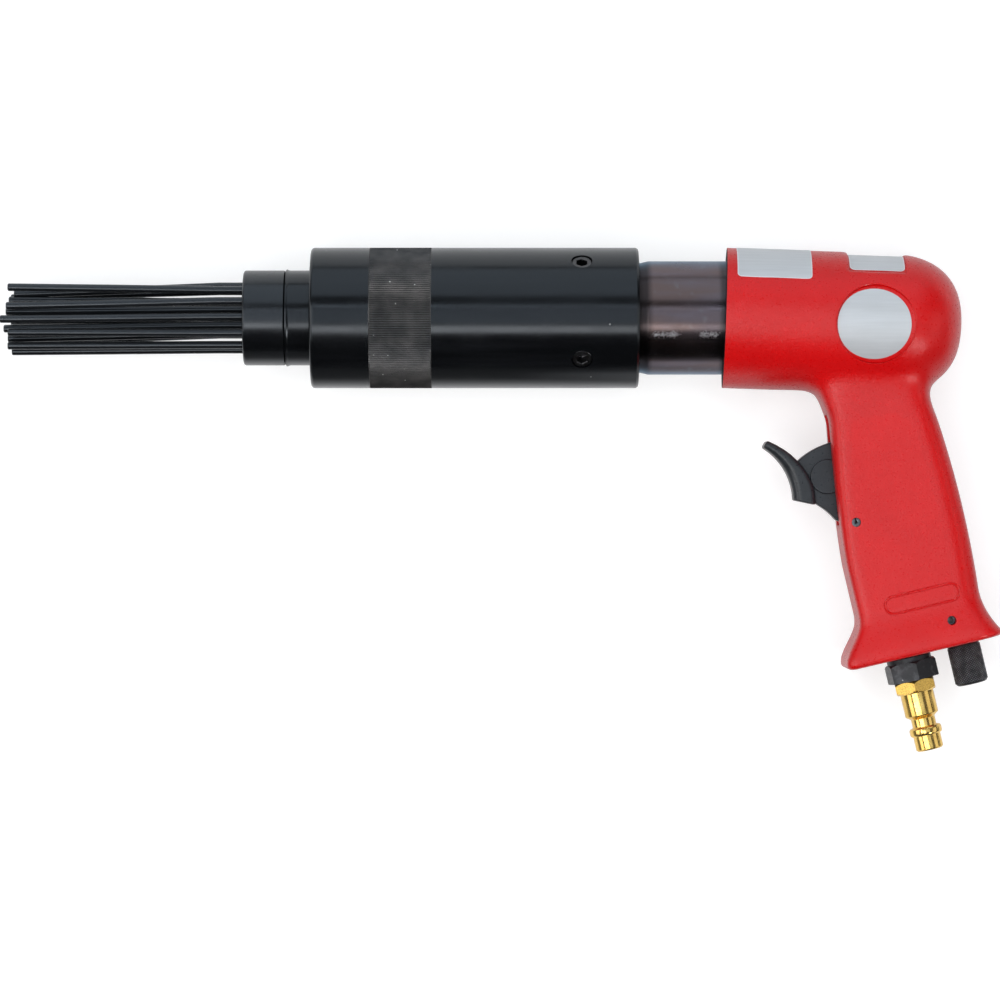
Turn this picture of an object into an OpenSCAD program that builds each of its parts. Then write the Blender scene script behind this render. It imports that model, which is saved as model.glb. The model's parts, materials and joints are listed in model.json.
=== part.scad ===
// Air-driven needle scaler, lying on its side on a bench.
// X runs along the barrel with the needles towards -X, the grip points to -Y, and +Z is up from the bench.
// Inside the modules the barrel axis is the X axis, and X = 0 is the front of the handle.

/* [Needles] */
// Diameter of a needle
needle_d = 3; // [2:0.1:3.4]
// Length of an unworn needle
needle_len = 181; // [165:1:200]
// Wear at the tip of the shortest needle
needle_wear = 4.6; // [0:0.1:8]
// Distance from each ring of needles to the next
ring_step = 6.08; // [5.8:0.02:6.3]
// Diameter of a needle's head
head_d = 4.6; // [4:0.1:5]
// Thickness of a needle's head
head_t = 2.5; // [1.5:0.1:4]

/* [Tube and nose] */
// Wall of the tube round the barrel
tube_wall = 4.9; // [4:0.1:6]
// Length of the tube without its neck
tube_len = 126.2; // [120:0.2:135]
// Thickness of the wall that closes the front of the tube
tube_front_wall = 10.5; // [8:0.5:12]
// Radius on the tube's front edge
tube_round = 2; // [0.5:0.5:3]
// Outside diameter of the neck and the nose
neck_d = 36.5; // [36:0.5:40]
// Length of the tube's neck
neck_len = 9.2; // [8:0.2:14]
// Length of the nose in front of the neck
nose_len = 16.1; // [12:0.1:20]
// Length of the nose's spigot inside the neck
spigot_len = 7; // [4:0.5:8]
// Wall of the nose's spigot
spigot_wall = 1.5; // [1:0.1:1.6]
// Thickness of the drilled guide disc
guide_t = 6; // [4:0.5:8]
// Rim of the guide disc outside its outer holes
guide_rim = 1.2; // [0.8:0.1:1.3]
// Lip at the front of the nose
nose_lip = 2; // [1:0.5:3]

/* [Set screws] */
// Diameter of a set screw
screw_d = 8; // [6:0.5:10]
// Hexagon socket of a set screw, across its flats
screw_socket = 4; // [3:0.5:5]
// Distance of the set screws from the tube's rear end
screw_inset = 21.9; // [15:0.1:40]
// Angle of the first set screw from straight up towards +Y
screw_turn = 51.5; // [0:0.5:89]

/* [Barrel and hammer] */
// Outside diameter of the barrel
barrel_d = 43.6; // [42:0.1:44.4]
// Length of the barrel in front of the handle
barrel_len = 88; // [82:1:92]
// Barrel left bare between the handle and the tube
barrel_show = 32.3; // [24:0.1:40]
// Step from the barrel down to its spigot in the handle
barrel_step = 1.8; // [1.3:0.1:2.8]
// Length of the barrel's spigot in the handle
barrel_spigot_len = 48; // [44:1:50]
// Length of the barrel's front bush
bush_len = 22; // [18:1:24]
// Diameter of the hammer piston
piston_d = 21.9; // [20:0.1:24]
// Length of the hammer piston
piston_len = 45; // [38:1:48]
// Diameter of the anvil's shank
anvil_d = 16; // [14:0.5:18]
// Length of the anvil's shank
anvil_len = 26; // [24:1:30]
// Diameter of the anvil's flange
anvil_flange_d = 34; // [30:0.5:36]
// Thickness of the anvil's flange
anvil_flange_t = 8; // [6:0.5:9]
// Thickness of the needle holder
holder_t = 8.7; // [7:0.1:10]
// Diameter of the exhaust passages in the barrel wall
exhaust_d = 3; // [2:0.1:3.1]

/* [Needle spring] */
// Wire of the needle spring
spring_wire = 2.6; // [2:0.1:2.8]
// Gap between the needle spring and the tube
spring_gap = 1.8; // [1.3:0.1:2.3]
// Turns of the needle spring
spring_turns = 7; // [5:1:8]

/* [Flutter valve] */
// Thickness of the valve cover
cover_t = 4; // [3:0.5:5]
// Length of the valve case
case_len = 10; // [9:0.5:12]
// Diameter of the flutter plate
plate_d = 20; // [16:0.5:24]
// Thickness of the flutter plate
plate_t = 1.5; // [1:0.1:2]
// Travel of the flutter plate
plate_travel = 1.2; // [0.8:0.1:1.6]
// Diameter of the locating pin
locator_d = 3; // [2:0.1:3.5]

/* [Body] */
// Wall of the body round the barrel's spigot
body_wall = 6.95; // [5.95:0.05:8.95]
// Lean of the body's outside, down towards its domed end
body_lean = 2; // [0:0.1:2.5]
// Length of the straight part of the body
body_len = 61; // [60:1:66]
// Length of the domed end
dome_len = 29.9; // [26:0.1:34]
// Fullness of the dome, where 2 is an ellipse
dome_fullness = 2.5; // [2:0.1:3]
// Length of the air chamber behind the valve
chamber_len = 10; // [9:0.5:12]
// Length of the shallow pocket on the top of the body
pocket_len = 22; // [16:0.5:24]
// Distance of the pocket from the front of the body
pocket_x = 45.8; // [44:0.1:50]
// Depth of the pocket and of the round recess
pocket_depth = 1.2; // [0.4:0.1:1.6]
// Half of the angle that the pocket spans
pocket_half_angle = 45; // [30:1:60]
// Diameter of the round recess on the body's side
recess_d = 31.5; // [24:0.5:34]
// Distance of the round recess from the front of the body
recess_x = 55.8; // [50:0.1:60]

/* [Grip] */
// Lean of the grip
grip_tilt = 13.3; // [11:0.1:15]
// Distance of the inlet from the front of the body
inlet_x = 71.6; // [70:0.1:73]
// Distance of the grip's base below the barrel axis, at the inlet
inlet_drop = 130.1; // [127:0.1:134]
// Thickness of the grip
grip_t = 33; // [31:0.5:36]
// Front of the grip ahead of the inlet axis
grip_front = 15.9; // [15:0.1:18]
// Back of the grip behind the inlet axis
grip_rear = 32.8; // [31:0.1:35]
// Front of the grip ahead of the inlet axis at the throat
throat_front = 9.2; // [9:0.1:12]
// How far the back of the grip draws in at the throat
throat_hollow = 2.6; // [1:0.1:4]
// Height of the throat above the base
throat_h = 96; // [94:0.5:98]
// Toe of the base ahead of the inlet axis
base_toe = 25; // [20:0.5:28]
// Heel of the base behind the inlet axis
base_heel = 36.5; // [34:0.5:40]
// Thickness of the base
base_t = 40; // [36:0.5:44]
// Height of the flare above the base
base_flare = 18.5; // [14:0.5:22]
// Radius round the edge of the base
base_round = 2.6; // [1.5:0.1:3]
// Radius on the front edges of the grip
grip_front_r = 6; // [4:0.5:8]
// Radius on the front edges of the grip at the throat
throat_r = 10; // [6:0.5:12]
// Radius on the back edges of the grip
grip_rear_r = 10; // [6:0.5:12]

/* [Trigger] */
// Height of the trigger's pivot above the base
pivot_h = 55.1; // [53:0.1:57]
// Distance of the pivot ahead of the inlet axis
pivot_front = 8.8; // [8.6:0.1:9.6]
// Diameter of the trigger pin
trigger_pin_d = 3.4; // [3:0.1:3.6]
// Radius of the trigger's hub
trigger_hub_r = 3.3; // [3:0.1:3.4]
// Radius of the trigger's round top about its pivot
trigger_r = 31.9; // [30:0.1:33]
// Thickness of the trigger's web
trigger_web_t = 9; // [7:0.5:10]
// Thickness across the trigger's bosses
trigger_boss_t = 11; // [10.5:0.5:13]
// Radius of the trigger's side bosses
trigger_boss_r = 6.7; // [4:0.1:7]
// Height of the trigger's slot above the trigger's round top
slot_over = 8.5; // [2:0.1:9]
// Width of the finger piece
finger_w = 15; // [13:0.5:18]
// Radius of the hollow for the finger
finger_hollow_r = 24.2; // [23:0.1:26]
// Angle through which the trigger is pulled
trigger_pull = 14; // [8:1:16]

/* [Throttle valve] */
// Diameter of the push pin between trigger and valve
push_pin_d = 3; // [2.4:0.1:3.2]
// Height of the push pin above the trigger's pivot
push_pin_h = 8.5; // [7.5:0.1:9]
// Diameter of the valve's stem
stem_d = 2.2; // [1.8:0.1:2.4]
// Diameter of the valve's disc
valve_disc_d = 9; // [8:0.1:10]
// Thickness of the valve's disc
valve_disc_t = 2.5; // [1.5:0.1:3]
// Height of the valve's seat above the base
seat_h = 24; // [23:0.5:26]
// Thickness of the valve's seat ring
seat_t = 3; // [2:0.5:4]
// Diameter of the passage round the valve's stem
stem_passage_d = 7.4; // [7:0.1:7.6]
// Diameter of the valve chamber
valve_chamber_d = 13; // [12:0.5:15]
// Wire of the valve spring
valve_spring_wire = 0.8; // [0.6:0.1:1]
// Mean diameter of the valve spring
valve_spring_d = 6.6; // [6:0.1:7]
// Turns of the valve spring
valve_spring_turns = 4; // [3:1:5]

/* [Air inlet] */
// Thread diameter of the inlet bushing
bushing_d = 16.6; // [16:0.1:17]
// Length of the bushing inside the grip
bushing_len = 14; // [12:0.5:15]
// Hexagon of the bushing, across its flats
bushing_flats = 18; // [18:0.5:20]
// Turn of the bushing's hexagon
bushing_turn = 12; // [0:1:30]
// Height of the bushing's hexagon with its collar
bushing_head = 9.2; // [7:0.1:12]
// Height of the collar above the bushing's hexagon
bushing_collar = 2; // [1:0.1:3]
// Hexagon of the hose plug, across its flats
plug_flats = 15; // [14:0.5:17]
// Height of the hose plug's hexagon
plug_hex = 4.9; // [3:0.1:6]
// Diameter of the hose plug's body
plug_body_d = 12.9; // [12:0.1:14]
// Length of the hose plug's body
plug_body_len = 9.8; // [8:0.1:12]
// Diameter of the hose plug's neck
plug_neck_d = 9.3; // [8.5:0.1:10]
// Length of the hose plug's neck
plug_neck_len = 3.5; // [3:0.1:5]
// Diameter of the hose plug's locking ring
plug_ring_d = 12.5; // [11.5:0.1:13]
// Length of the hose plug's locking ring
plug_ring_len = 3.3; // [2:0.1:4]
// Diameter of the hose plug's tip
plug_tip_d = 10.6; // [10:0.1:11]
// Length of the hose plug's tip
plug_tip_len = 6; // [5:0.1:8]
// Diameter of the air passage through the hose plug
plug_bore_d = 6; // [4:0.1:7]
// Diameter of the hose plug's thread
plug_thread_d = 12.6; // [11.5:0.1:13]
// Length of the hose plug's thread
plug_thread_len = 9; // [6:0.5:10]

/* [Regulator] */
// Distance of the regulator behind the inlet
regulator_x = 21.6; // [21:0.1:22.5]
// Diameter of the regulator's knob
knob_d = 12.8; // [11:0.1:14]
// Length of the regulator's knob
knob_len = 15.8; // [12:0.1:20]
// Diameter of the regulator's stem
regulator_stem_d = 9; // [8.4:0.1:9.6]
// Height of the cross passage above the base
passage_h = 33; // [32:0.5:36]
// Diameter of the cross passage
passage_d = 6; // [4:0.5:7]
// Diameter of the regulator's cross pin
regulator_pin_d = 3.4; // [3:0.1:3.8]
// Height of the regulator's cross pin above the base
regulator_pin_h = 10.4; // [9:0.1:12]
// Distance of the cross pin from the regulator's axis
regulator_pin_x = 3.7; // [3.5:0.1:4]
// Wire of the regulator's sealing ring
o_ring_d = 1.3; // [1:0.1:1.5]

/* [Clearances] */
// Radial clearance of a running fit
fit = 0.05; // [0.02:0.01:0.08]
// Gap between faces that come together in use
seat_gap = 0.3; // [0.2:0.05:0.4]
// Radial gap between the barrel and the tube that slides on it
slide_gap = 0.3; // [0.2:0.05:0.4]
// Radial gap round a needle in the guide disc
needle_gap = 0.35; // [0.2:0.05:0.4]
// Gap on each side of the trigger in its slot
slot_gap = 0.35; // [0.3:0.05:0.6]
// Radial gap round the needle holder
holder_gap = 0.5; // [0.3:0.05:0.8]

/* [Hidden] */
ring_counts = [1, 6, 12];
needle_count = 19;
needle_wear_step = 7;
curve_fn = 96;
hole_fn = 32;
coil_steps = 8;
coil_sides = 6;
edge = 0.8;
small_edge = 0.4;
past = 1;

tube_bore_d = barrel_d + 2 * slide_gap;
tube_r = tube_bore_d / 2 + tube_wall;
tube_rear = -barrel_show;
tube_front = tube_rear - tube_len;
spring_seat = tube_front + tube_front_wall;
neck_front = tube_front - neck_len;
nose_front = neck_front - nose_len;
guide_hole_r = needle_d / 2 + needle_gap;
guide_r = 2 * ring_step + guide_hole_r + guide_rim;
spigot_r = guide_r + spigot_wall;
spring_d = tube_bore_d - spring_wire - 2 * spring_gap;
screw_x = tube_rear - screw_inset;

barrel_front = -barrel_len;
barrel_spigot_d = barrel_d - 2 * barrel_step;
anvil_rear = barrel_front - seat_gap;
anvil_front = anvil_rear - anvil_flange_t;
holder_rear = anvil_front - seat_gap;
holder_front = holder_rear - holder_t;
holder_r = tube_bore_d / 2 - holder_gap;
head_recess = 0.1;
head_rear = holder_rear - head_recess;
needle_hole_r = needle_d / 2 + 2 * fit;
head_hole_r = head_d / 2 + 4 * fit;
anvil_end = anvil_rear + anvil_len;
piston_front = anvil_end + seat_gap;
hammer_bore_r = piston_d / 2 + fit;
exhaust_ring_r = (anvil_flange_d / 2 + barrel_d / 2) / 2;
exhaust_x = -9;
exhaust_groove_w = 6;

cover_x = barrel_spigot_len;
case_x = cover_x + cover_t;
chest_end = case_x + case_len;
chest_r = barrel_spigot_d / 2 + fit;
pocket_clear = 0.1;
plate_pocket_len = plate_t + plate_travel + 2 * pocket_clear;
locator_ring_r = (barrel_spigot_d / 2 + hammer_bore_r) / 2;
locator_depth = 5;
cover_port_r = plate_d / 4;
case_port_ring_r = plate_d / 3;
case_port_r = plate_d / 10;
chamber_step = 3;
chamber_r = chest_r - chamber_step;

body_r = chest_r + body_wall;
body_front = body_r * sin(body_lean);
barrel_seat = 2 * body_front + small_edge;
lift = max(body_r, tube_r);
dome_steps = 12;

grip_top = 122;
grip_middle = 51;
grip_steps = 9;
flare_steps = 6;
throat_steps = 7;
round_steps = 3;
corner_steps = 5;
throat_flare = 3.8;
throat_start = 0.4 * throat_h;
throat_bend = 1.35;
root_bend = 0.8;
side_flare = 1;

// Places on the trigger are measured from its pivot
pivot = [-pivot_front, pivot_h];
web_front = [[-15.6, 27.8], [-11.9, 10], [-6.3, 1.9]];
web_turn = 115;
boss_at = [-5.8, 19.3];
finger_back = [[-19.5, 33.1], [-15.6, 27.8], [-13, 22.1], [-11.8, 15.4], [-11.9, 10], [-16.2, 11.7]];
finger_top = [[-26.9, 36.2], [-26.6, 37.6], [-25.2, 38]];
finger_toe = [-20.9, 13.4];
finger_hollow_at = [-44.3, 18.5];
finger_chamfer = 1.6;
slot_margin = 1.5;
slot_turn = 90 - trigger_pull - slot_margin;
slot_end = (trigger_r + slot_gap) * [cos(slot_turn), sin(slot_turn)];
slot_rise = trigger_r + slot_over;
slot_w = trigger_boss_t + 2 * slot_gap;
trigger_pin_sink = 0.5;
regulator_pin_sink = 3;
pin_slit = 0.6;

push_contact = 0.3;
push_front = push_contact + seat_gap;
stem_r = stem_d / 2;
stem_passage_r = stem_passage_d / 2;
stem_top = pivot_h + push_pin_h + push_pin_d / 2;
stem_room = 2;
stem_passage_top = stem_top + stem_room;
valve_chamber_r = valve_chamber_d / 2;
bushing_r = bushing_d / 2;
screen_t = 1.2;
screen_hole_r = 1;
screen_ring_r = 2.9;
inlet_bore_r = plug_thread_d / 2 + fit;
bushing_bore_r = 4.5;

plug_hex_z = -bushing_head;
plug_body_z = plug_hex_z - plug_hex;
plug_neck_z = plug_body_z - plug_body_len;
plug_ring_z = plug_neck_z - plug_neck_len;
plug_tip_z = plug_ring_z - plug_ring_len;
plug_end_z = plug_tip_z - plug_tip_len;

regulator_bore_r = regulator_stem_d / 2 + fit;
stem_over = 2;
regulator_top = passage_h + passage_d / 2 + stem_over;
regulator_groove_r = regulator_pin_x - regulator_pin_d / 2 - 2 * fit;
regulator_groove_half = regulator_pin_d / 2 + 4 * fit;
o_ring_h = 5;
o_ring_groove_r = regulator_stem_d / 2 - o_ring_d;
channel_top = (inlet_drop - regulator_x * sin(grip_tilt)) / cos(grip_tilt);

// Middle of the whole tool, which becomes the origin on the bench
low_x = head_rear - needle_len;
high_x = inlet_x + base_heel * cos(grip_tilt) - base_round * sin(grip_tilt);
low_y = -inlet_drop - (plug_tip_d / 2 - edge) * sin(grip_tilt) + plug_end_z * cos(grip_tilt);
shift = [-(low_x + high_x) / 2, -(low_y + lift) / 2, lift];

// Puts a piece from the barrel's frame on the bench
module on_bench() translate(shift) children();

// Frame of the grip: x runs back across the grip, y up along its lean, with the inlet at the origin
module in_grip() translate([inlet_x, -inlet_drop, 0]) rotate([0, 0, grip_tilt]) children();

// Solid turned about the barrel axis from points of [place along the axis, radius]
module turned(points) rotate([0, 90, 0]) rotate_extrude($fn = curve_fn) polygon([for (p = points) [p[1], p[0]]]);

// Rod along the barrel axis
module rod(x0, x1, r) translate([x0, 0, 0]) rotate([0, 90, 0]) cylinder(h = x1 - x0, r = r, $fn = curve_fn);

// Solid turned about a line up the grip from points of [height, radius]
module grip_turned(x, points)
    in_grip() translate([x, 0, 0]) rotate([-90, 0, 0]) rotate_extrude($fn = curve_fn)
        polygon([for (p = points) [p[1], p[0]]]);

// Rod up the grip
module grip_rod(x, h0, h1, r) grip_turned(x, [[h0, 0], [h0, r], [h1, r], [h1, 0]]);

// Rod across the grip, centred on the tool's middle plane
module cross_rod(at, length, r)
    in_grip() translate([at[0], at[1], -length / 2]) cylinder(h = length, r = r, $fn = curve_fn);

// Hexagonal bar up the grip
module grip_hex(h0, h1, flats, turn)
    in_grip() translate([0, h0, 0]) rotate([-90, 0, 0]) rotate([0, 0, turn])
        cylinder(h = h1 - h0, r = flats / 2 / cos(30), $fn = 6);

// Place of a needle in its ring, as [y, z]
function ring_of(i) = i == 0 ? 0 : i <= ring_counts[1] ? 1 : 2;
function turn_of(i) = i == 0 ? 0 : i <= ring_counts[1] ? 30 + 60 * i : 30 * i;
function needle_at(i) = ring_of(i) * ring_step * [sin(turn_of(i)), cos(turn_of(i))];

// Wear of a needle's tip, a different share for each needle
function wear_of(i) = needle_wear * ((needle_wear_step * i) % needle_count) / (needle_count - 1);

// Wire wound as a coil along Z, as one unbroken tube of triangles
function coil_middle(r, rise, i) = [r * cos(360 * i / coil_steps), r * sin(360 * i / coil_steps), rise * i];
function coil_ring(r, wire_r, rise, i) = [
    for (k = [0 : coil_sides - 1])
        let (out = r + wire_r * cos(360 * k / coil_sides), turn = 360 * i / coil_steps)
            [out * cos(turn), out * sin(turn), rise * i + wire_r * sin(360 * k / coil_sides)]
];
function coil_gap(r, wire, rise, rings) = min([
    for (i = [0 : rings - coil_steps / 2], j = [i + coil_steps / 2 : rings])
        norm(coil_middle(r, rise, i) - coil_middle(r, rise, j))
]) - wire;
module coil(mean_d, wire, length, turns) {
    rings = turns * coil_steps;
    rise = (length - wire) / rings;
    points = [for (i = [0 : rings]) each coil_ring(mean_d / 2, wire / 2, rise, i)];
    sides = [
        for (i = [0 : rings - 1], k = [0 : coil_sides - 1])
            let (a = i * coil_sides + k, b = i * coil_sides + (k + 1) % coil_sides)
                each [[a, b, b + coil_sides], [a, b + coil_sides, a + coil_sides]]
    ];
    caps = [
        for (k = [1 : coil_sides - 2])
            each [[0, k + 1, k], [0, k, k + 1] + rings * coil_sides * [1, 1, 1]]
    ];
    echo(coil_self_gap = coil_gap(mean_d / 2, wire, rise, rings));
    translate([0, 0, wire / 2]) polyhedron(points, concat(sides, caps));
}

// Outline of the grip at a height above its base
function ease(s) = s * s * (3 - 2 * s);
function share(h, h0, h1) = max(0, min(1, (h - h0) / (h1 - h0)));
function base_share(h) = share(h, base_round, base_flare);
function root_share(h) = pow(share(h, throat_h, grip_top), root_bend);
function front_at(h) =
    -grip_front
    + (grip_front - base_toe) * (1 - ease(base_share(h)))
    + (grip_front - throat_front) * pow(share(h, throat_start, throat_h), throat_bend)
    - throat_flare * root_share(h);
function rear_at(h) =
    grip_rear
    + (base_heel - grip_rear) * pow(1 - base_share(h), 2)
    - throat_hollow * pow(min(h - grip_middle, throat_h - grip_middle) / (throat_h - grip_middle), 2)
        * base_share(h)
    + throat_flare * root_share(h);
function half_at(h) =
    grip_t / 2
    + (base_t - grip_t) / 2 * (1 - ease(base_share(h)))
    + side_flare * root_share(h);

function front_r_at(h) = grip_front_r + (throat_r - grip_front_r) * share(h, throat_start, throat_h);

// Rounded section of the grip, drawn in by an inset
function corner(x, z, r, from) = [
    for (k = [0 : corner_steps])
        let (turn = from - 90 * k / corner_steps) [x + r * cos(turn), z + r * sin(turn)]
];
function grip_section(h, inset) =
    let (front = front_at(h) + inset, rear = rear_at(h) - inset, half = half_at(h) - inset)
    let (fr = front_r_at(h) - inset, rr = grip_rear_r - inset)
        concat(
            corner(front + fr, half - fr, fr, 180), corner(rear - rr, half - rr, rr, 90),
            corner(rear - rr, rr - half, rr, 0), corner(front + fr, fr - half, fr, -90)
        );
module grip_solid() {
    rounding = [
        for (k = [0 : round_steps - 1])
            let (turn = 90 * k / round_steps) [base_round * (1 - cos(turn)), base_round * (1 - sin(turn))]
    ];
    rows = concat(
        rounding,
        [for (k = [0 : flare_steps - 1]) [base_round + (base_flare - base_round) * k / flare_steps, 0]],
        [for (k = [0 : grip_steps - 1]) [base_flare + (throat_h - base_flare) * k / grip_steps, 0]],
        [for (k = [0 : throat_steps]) [throat_h + (grip_top - throat_h) * k / throat_steps, 0]]
    );
    count = 4 * (corner_steps + 1);
    points = [
        for (row = rows)
            each [for (p = grip_section(max(row[0], base_round), row[1])) [p[0], row[0], p[1]]]
    ];
    last = len(rows) - 1;
    sides = [
        for (i = [0 : last - 1], k = [0 : count - 1])
            let (a = i * count + k, b = i * count + (k + 1) % count)
                each [[a, b + count, b], [a, a + count, b + count]]
    ];
    bottom = [for (k = [0 : count - 1]) k];
    top = [for (k = [count - 1 : -1 : 0]) last * count + k];
    polyhedron(points, concat(sides, [bottom, top]));
}

// Cast housing: round body and pistol grip in one piece, with its bores, slot and air ways
module on_body() translate([body_front, 0, 0]) rotate([0, 0, -body_lean]) children();
module dome_body()
    turned(concat(
        [[0, 0], [0, body_r - edge], [edge, body_r]],
        [
            for (k = [0 : dome_steps])
                let (s = sin(90 * k / dome_steps))
                    [body_len + dome_len * s, body_r * pow(1 - pow(s, dome_fullness), 1 / dome_fullness)]
        ]
    ));
module top_pocket()
    rotate([90 - pocket_half_angle, 0, 0]) rotate([0, 90, 0])
        translate([0, 0, pocket_x]) rotate_extrude(angle = 2 * pocket_half_angle, $fn = curve_fn)
            translate([body_r - pocket_depth, 0]) square([pocket_depth + past, pocket_len]);
module side_recess()
    difference() {
        translate([recess_x, 0, 0]) cylinder(h = body_r + past, d = recess_d, $fn = curve_fn);
        rod(0, body_len + dome_len, body_r - pocket_depth);
    }
module trigger_slot() {
    in_grip() translate([pivot[0], pivot[1], -slot_w / 2]) linear_extrude(slot_w) polygon([
        [2 * push_contact, 0], [-grip_front, 0], [-grip_front, slot_rise], [slot_end[0], slot_rise], slot_end
    ]);
    in_grip() translate([pivot[0] - grip_front, pivot[1] - trigger_hub_r - slot_gap, -slot_w / 2])
        cube([grip_front, trigger_hub_r + slot_gap + past, slot_w]);
    cross_rod(pivot, slot_w, trigger_hub_r + slot_gap);
}
module handle() color("firebrick") on_bench() difference() {
    union() {
        on_body() dome_body();
        in_grip() grip_solid();
    }
    rod(-past, barrel_seat, barrel_d / 2 + fit);
    rod(0, chest_end + pocket_clear, chest_r);
    rod(chest_end, chest_end + chamber_len, chamber_r);
    on_body() top_pocket();
    on_body() side_recess();
    trigger_slot();
    cross_rod(pivot, 2 * grip_t, trigger_pin_d / 2 + fit);
    in_grip() translate([pivot[0], pivot[1] + push_pin_h, 0]) rotate([0, 90, 0])
        cylinder(h = pivot_front, r = push_pin_d / 2 + fit, $fn = curve_fn);
    grip_turned(0, [
        [-past, 0], [-past, bushing_r + fit], [bushing_len + screen_t, bushing_r + fit],
        [bushing_len + screen_t, valve_chamber_r + fit], [seat_h + seat_t, valve_chamber_r + fit],
        [seat_h + seat_t, stem_passage_r], [stem_passage_top, stem_passage_r], [stem_passage_top, 0]
    ]);
    in_grip() translate([0, passage_h, 0]) rotate([0, 90, 0])
        cylinder(h = regulator_x, d = passage_d, $fn = curve_fn);
    grip_rod(regulator_x, -past, channel_top, regulator_bore_r);
    cross_rod([regulator_x - regulator_pin_x, regulator_pin_h], 2 * base_t, regulator_pin_d / 2 + fit);
}

// Trigger: hub and web in the slot, with the wider finger piece in front
module trigger_web()
    polygon(concat(
        [[push_contact, 0]],
        [for (turn = [90 : 5 : web_turn]) trigger_r * [cos(turn), sin(turn)]],
        web_front,
        [[-trigger_hub_r, 0]]
    ));
module finger_piece()
    difference() {
        translate([0, 0, -finger_w / 2]) linear_extrude(finger_w)
            polygon(concat(finger_top, finger_back, [finger_toe]));
        translate([finger_hollow_at[0], finger_hollow_at[1], -finger_w]) {
            cylinder(h = 2 * finger_w, r = finger_hollow_r, $fn = curve_fn);
            for (side = [0, 1]) translate([0, 0, 2 * finger_w * side]) mirror([0, 0, side])
                cylinder(
                    h = finger_w / 2 + finger_chamfer, r1 = finger_hollow_r + finger_w / 2 + finger_chamfer,
                    r2 = finger_hollow_r, $fn = curve_fn
                );
        }
    }
module trigger() color("dimgray") on_bench() difference() {
    in_grip() translate([pivot[0], pivot[1], 0]) {
        translate([0, 0, -trigger_web_t / 2]) linear_extrude(trigger_web_t) trigger_web();
        finger_piece();
        translate([0, 0, -trigger_boss_t / 2]) cylinder(h = trigger_boss_t, r = trigger_hub_r, $fn = curve_fn);
        intersection() {
            translate([boss_at[0], boss_at[1], -trigger_boss_t / 2])
                cylinder(h = trigger_boss_t, r = trigger_boss_r, $fn = curve_fn);
            translate([0, 0, -trigger_boss_t]) linear_extrude(2 * trigger_boss_t) trigger_web();
        }
    }
    cross_rod(pivot, 2 * grip_t, trigger_pin_d / 2 + fit);
}

// Slotted spring pin across the grip
module spring_pin(at, length, d)
    difference() {
        cross_rod(at, length, d / 2);
        cross_rod(at, length + 2 * past, d / 2 - pin_slit);
        in_grip() translate([at[0] - pin_slit / 2, at[1], -length]) cube([pin_slit, d, 2 * length]);
    }
module trigger_pin() color("slategray") on_bench()
    spring_pin(pivot, grip_t - 2 * trigger_pin_sink, trigger_pin_d);
module regulator_pin() color("slategray") on_bench()
    spring_pin([regulator_x - regulator_pin_x, regulator_pin_h], grip_t - 2 * regulator_pin_sink, regulator_pin_d);

// Pin that carries the trigger's push to the valve stem
module push_pin() color("silver") on_bench() in_grip()
    translate([pivot[0] + push_front, pivot[1] + push_pin_h, 0]) {
        length = pivot_front - push_front - stem_r - seat_gap;
        turned([
            [0, 0], [0, push_pin_d / 2 - edge], [edge, push_pin_d / 2], [length - small_edge, push_pin_d / 2],
            [length, push_pin_d / 2 - small_edge], [length, 0]
        ]);
    }

// Tilting valve: disc below the seat with a long stem up the grip
module tip_valve() color("silver") on_bench()
    grip_turned(0, [
        [seat_h - seat_gap - valve_disc_t, 0], [seat_h - seat_gap - valve_disc_t, valve_disc_d / 2],
        [seat_h - seat_gap, valve_disc_d / 2], [seat_h - seat_gap, stem_r],
        [stem_top - small_edge, stem_r], [stem_top, stem_r - small_edge], [stem_top, 0]
    ]);
module valve_seat() color("black") on_bench()
    grip_turned(0, [
        [seat_h, stem_passage_r - edge], [seat_h, valve_chamber_r], [seat_h + seat_t, valve_chamber_r],
        [seat_h + seat_t, stem_passage_r - edge]
    ]);
module throttle_spring() color("silver") on_bench() {
    foot = bushing_len + screen_t;
    in_grip() translate([0, foot, 0]) rotate([-90, 0, 0])
        coil(valve_spring_d, valve_spring_wire, seat_h - seat_gap - valve_disc_t - foot, valve_spring_turns);
}

// Air inlet: bushing screwed into the grip, screen on its inner end and plug for the hose coupling
module inlet_bushing() color("darkslategray") on_bench() difference() {
    union() {
        grip_rod(0, -bushing_collar - small_edge, bushing_len, bushing_r);
        grip_rod(0, -bushing_collar - small_edge, 0, bushing_flats / 2 - small_edge);
        grip_hex(-bushing_head, -bushing_collar, bushing_flats, bushing_turn);
    }
    grip_rod(0, -bushing_head - past, -bushing_head + plug_thread_len + past, inlet_bore_r);
    grip_rod(0, -bushing_head, bushing_len + past, bushing_bore_r);
}
module inlet_screen() color("gainsboro") on_bench() difference() {
    grip_rod(0, bushing_len, bushing_len + screen_t, bushing_r - edge);
    grip_rod(0, bushing_len - past, bushing_len + screen_t + past, screen_hole_r);
    for (turn = [0 : 60 : 300])
        in_grip() rotate([0, turn, 0]) translate([screen_ring_r, bushing_len - past, 0]) rotate([-90, 0, 0])
            cylinder(h = screen_t + 2 * past, r = screen_hole_r, $fn = hole_fn);
}
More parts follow.
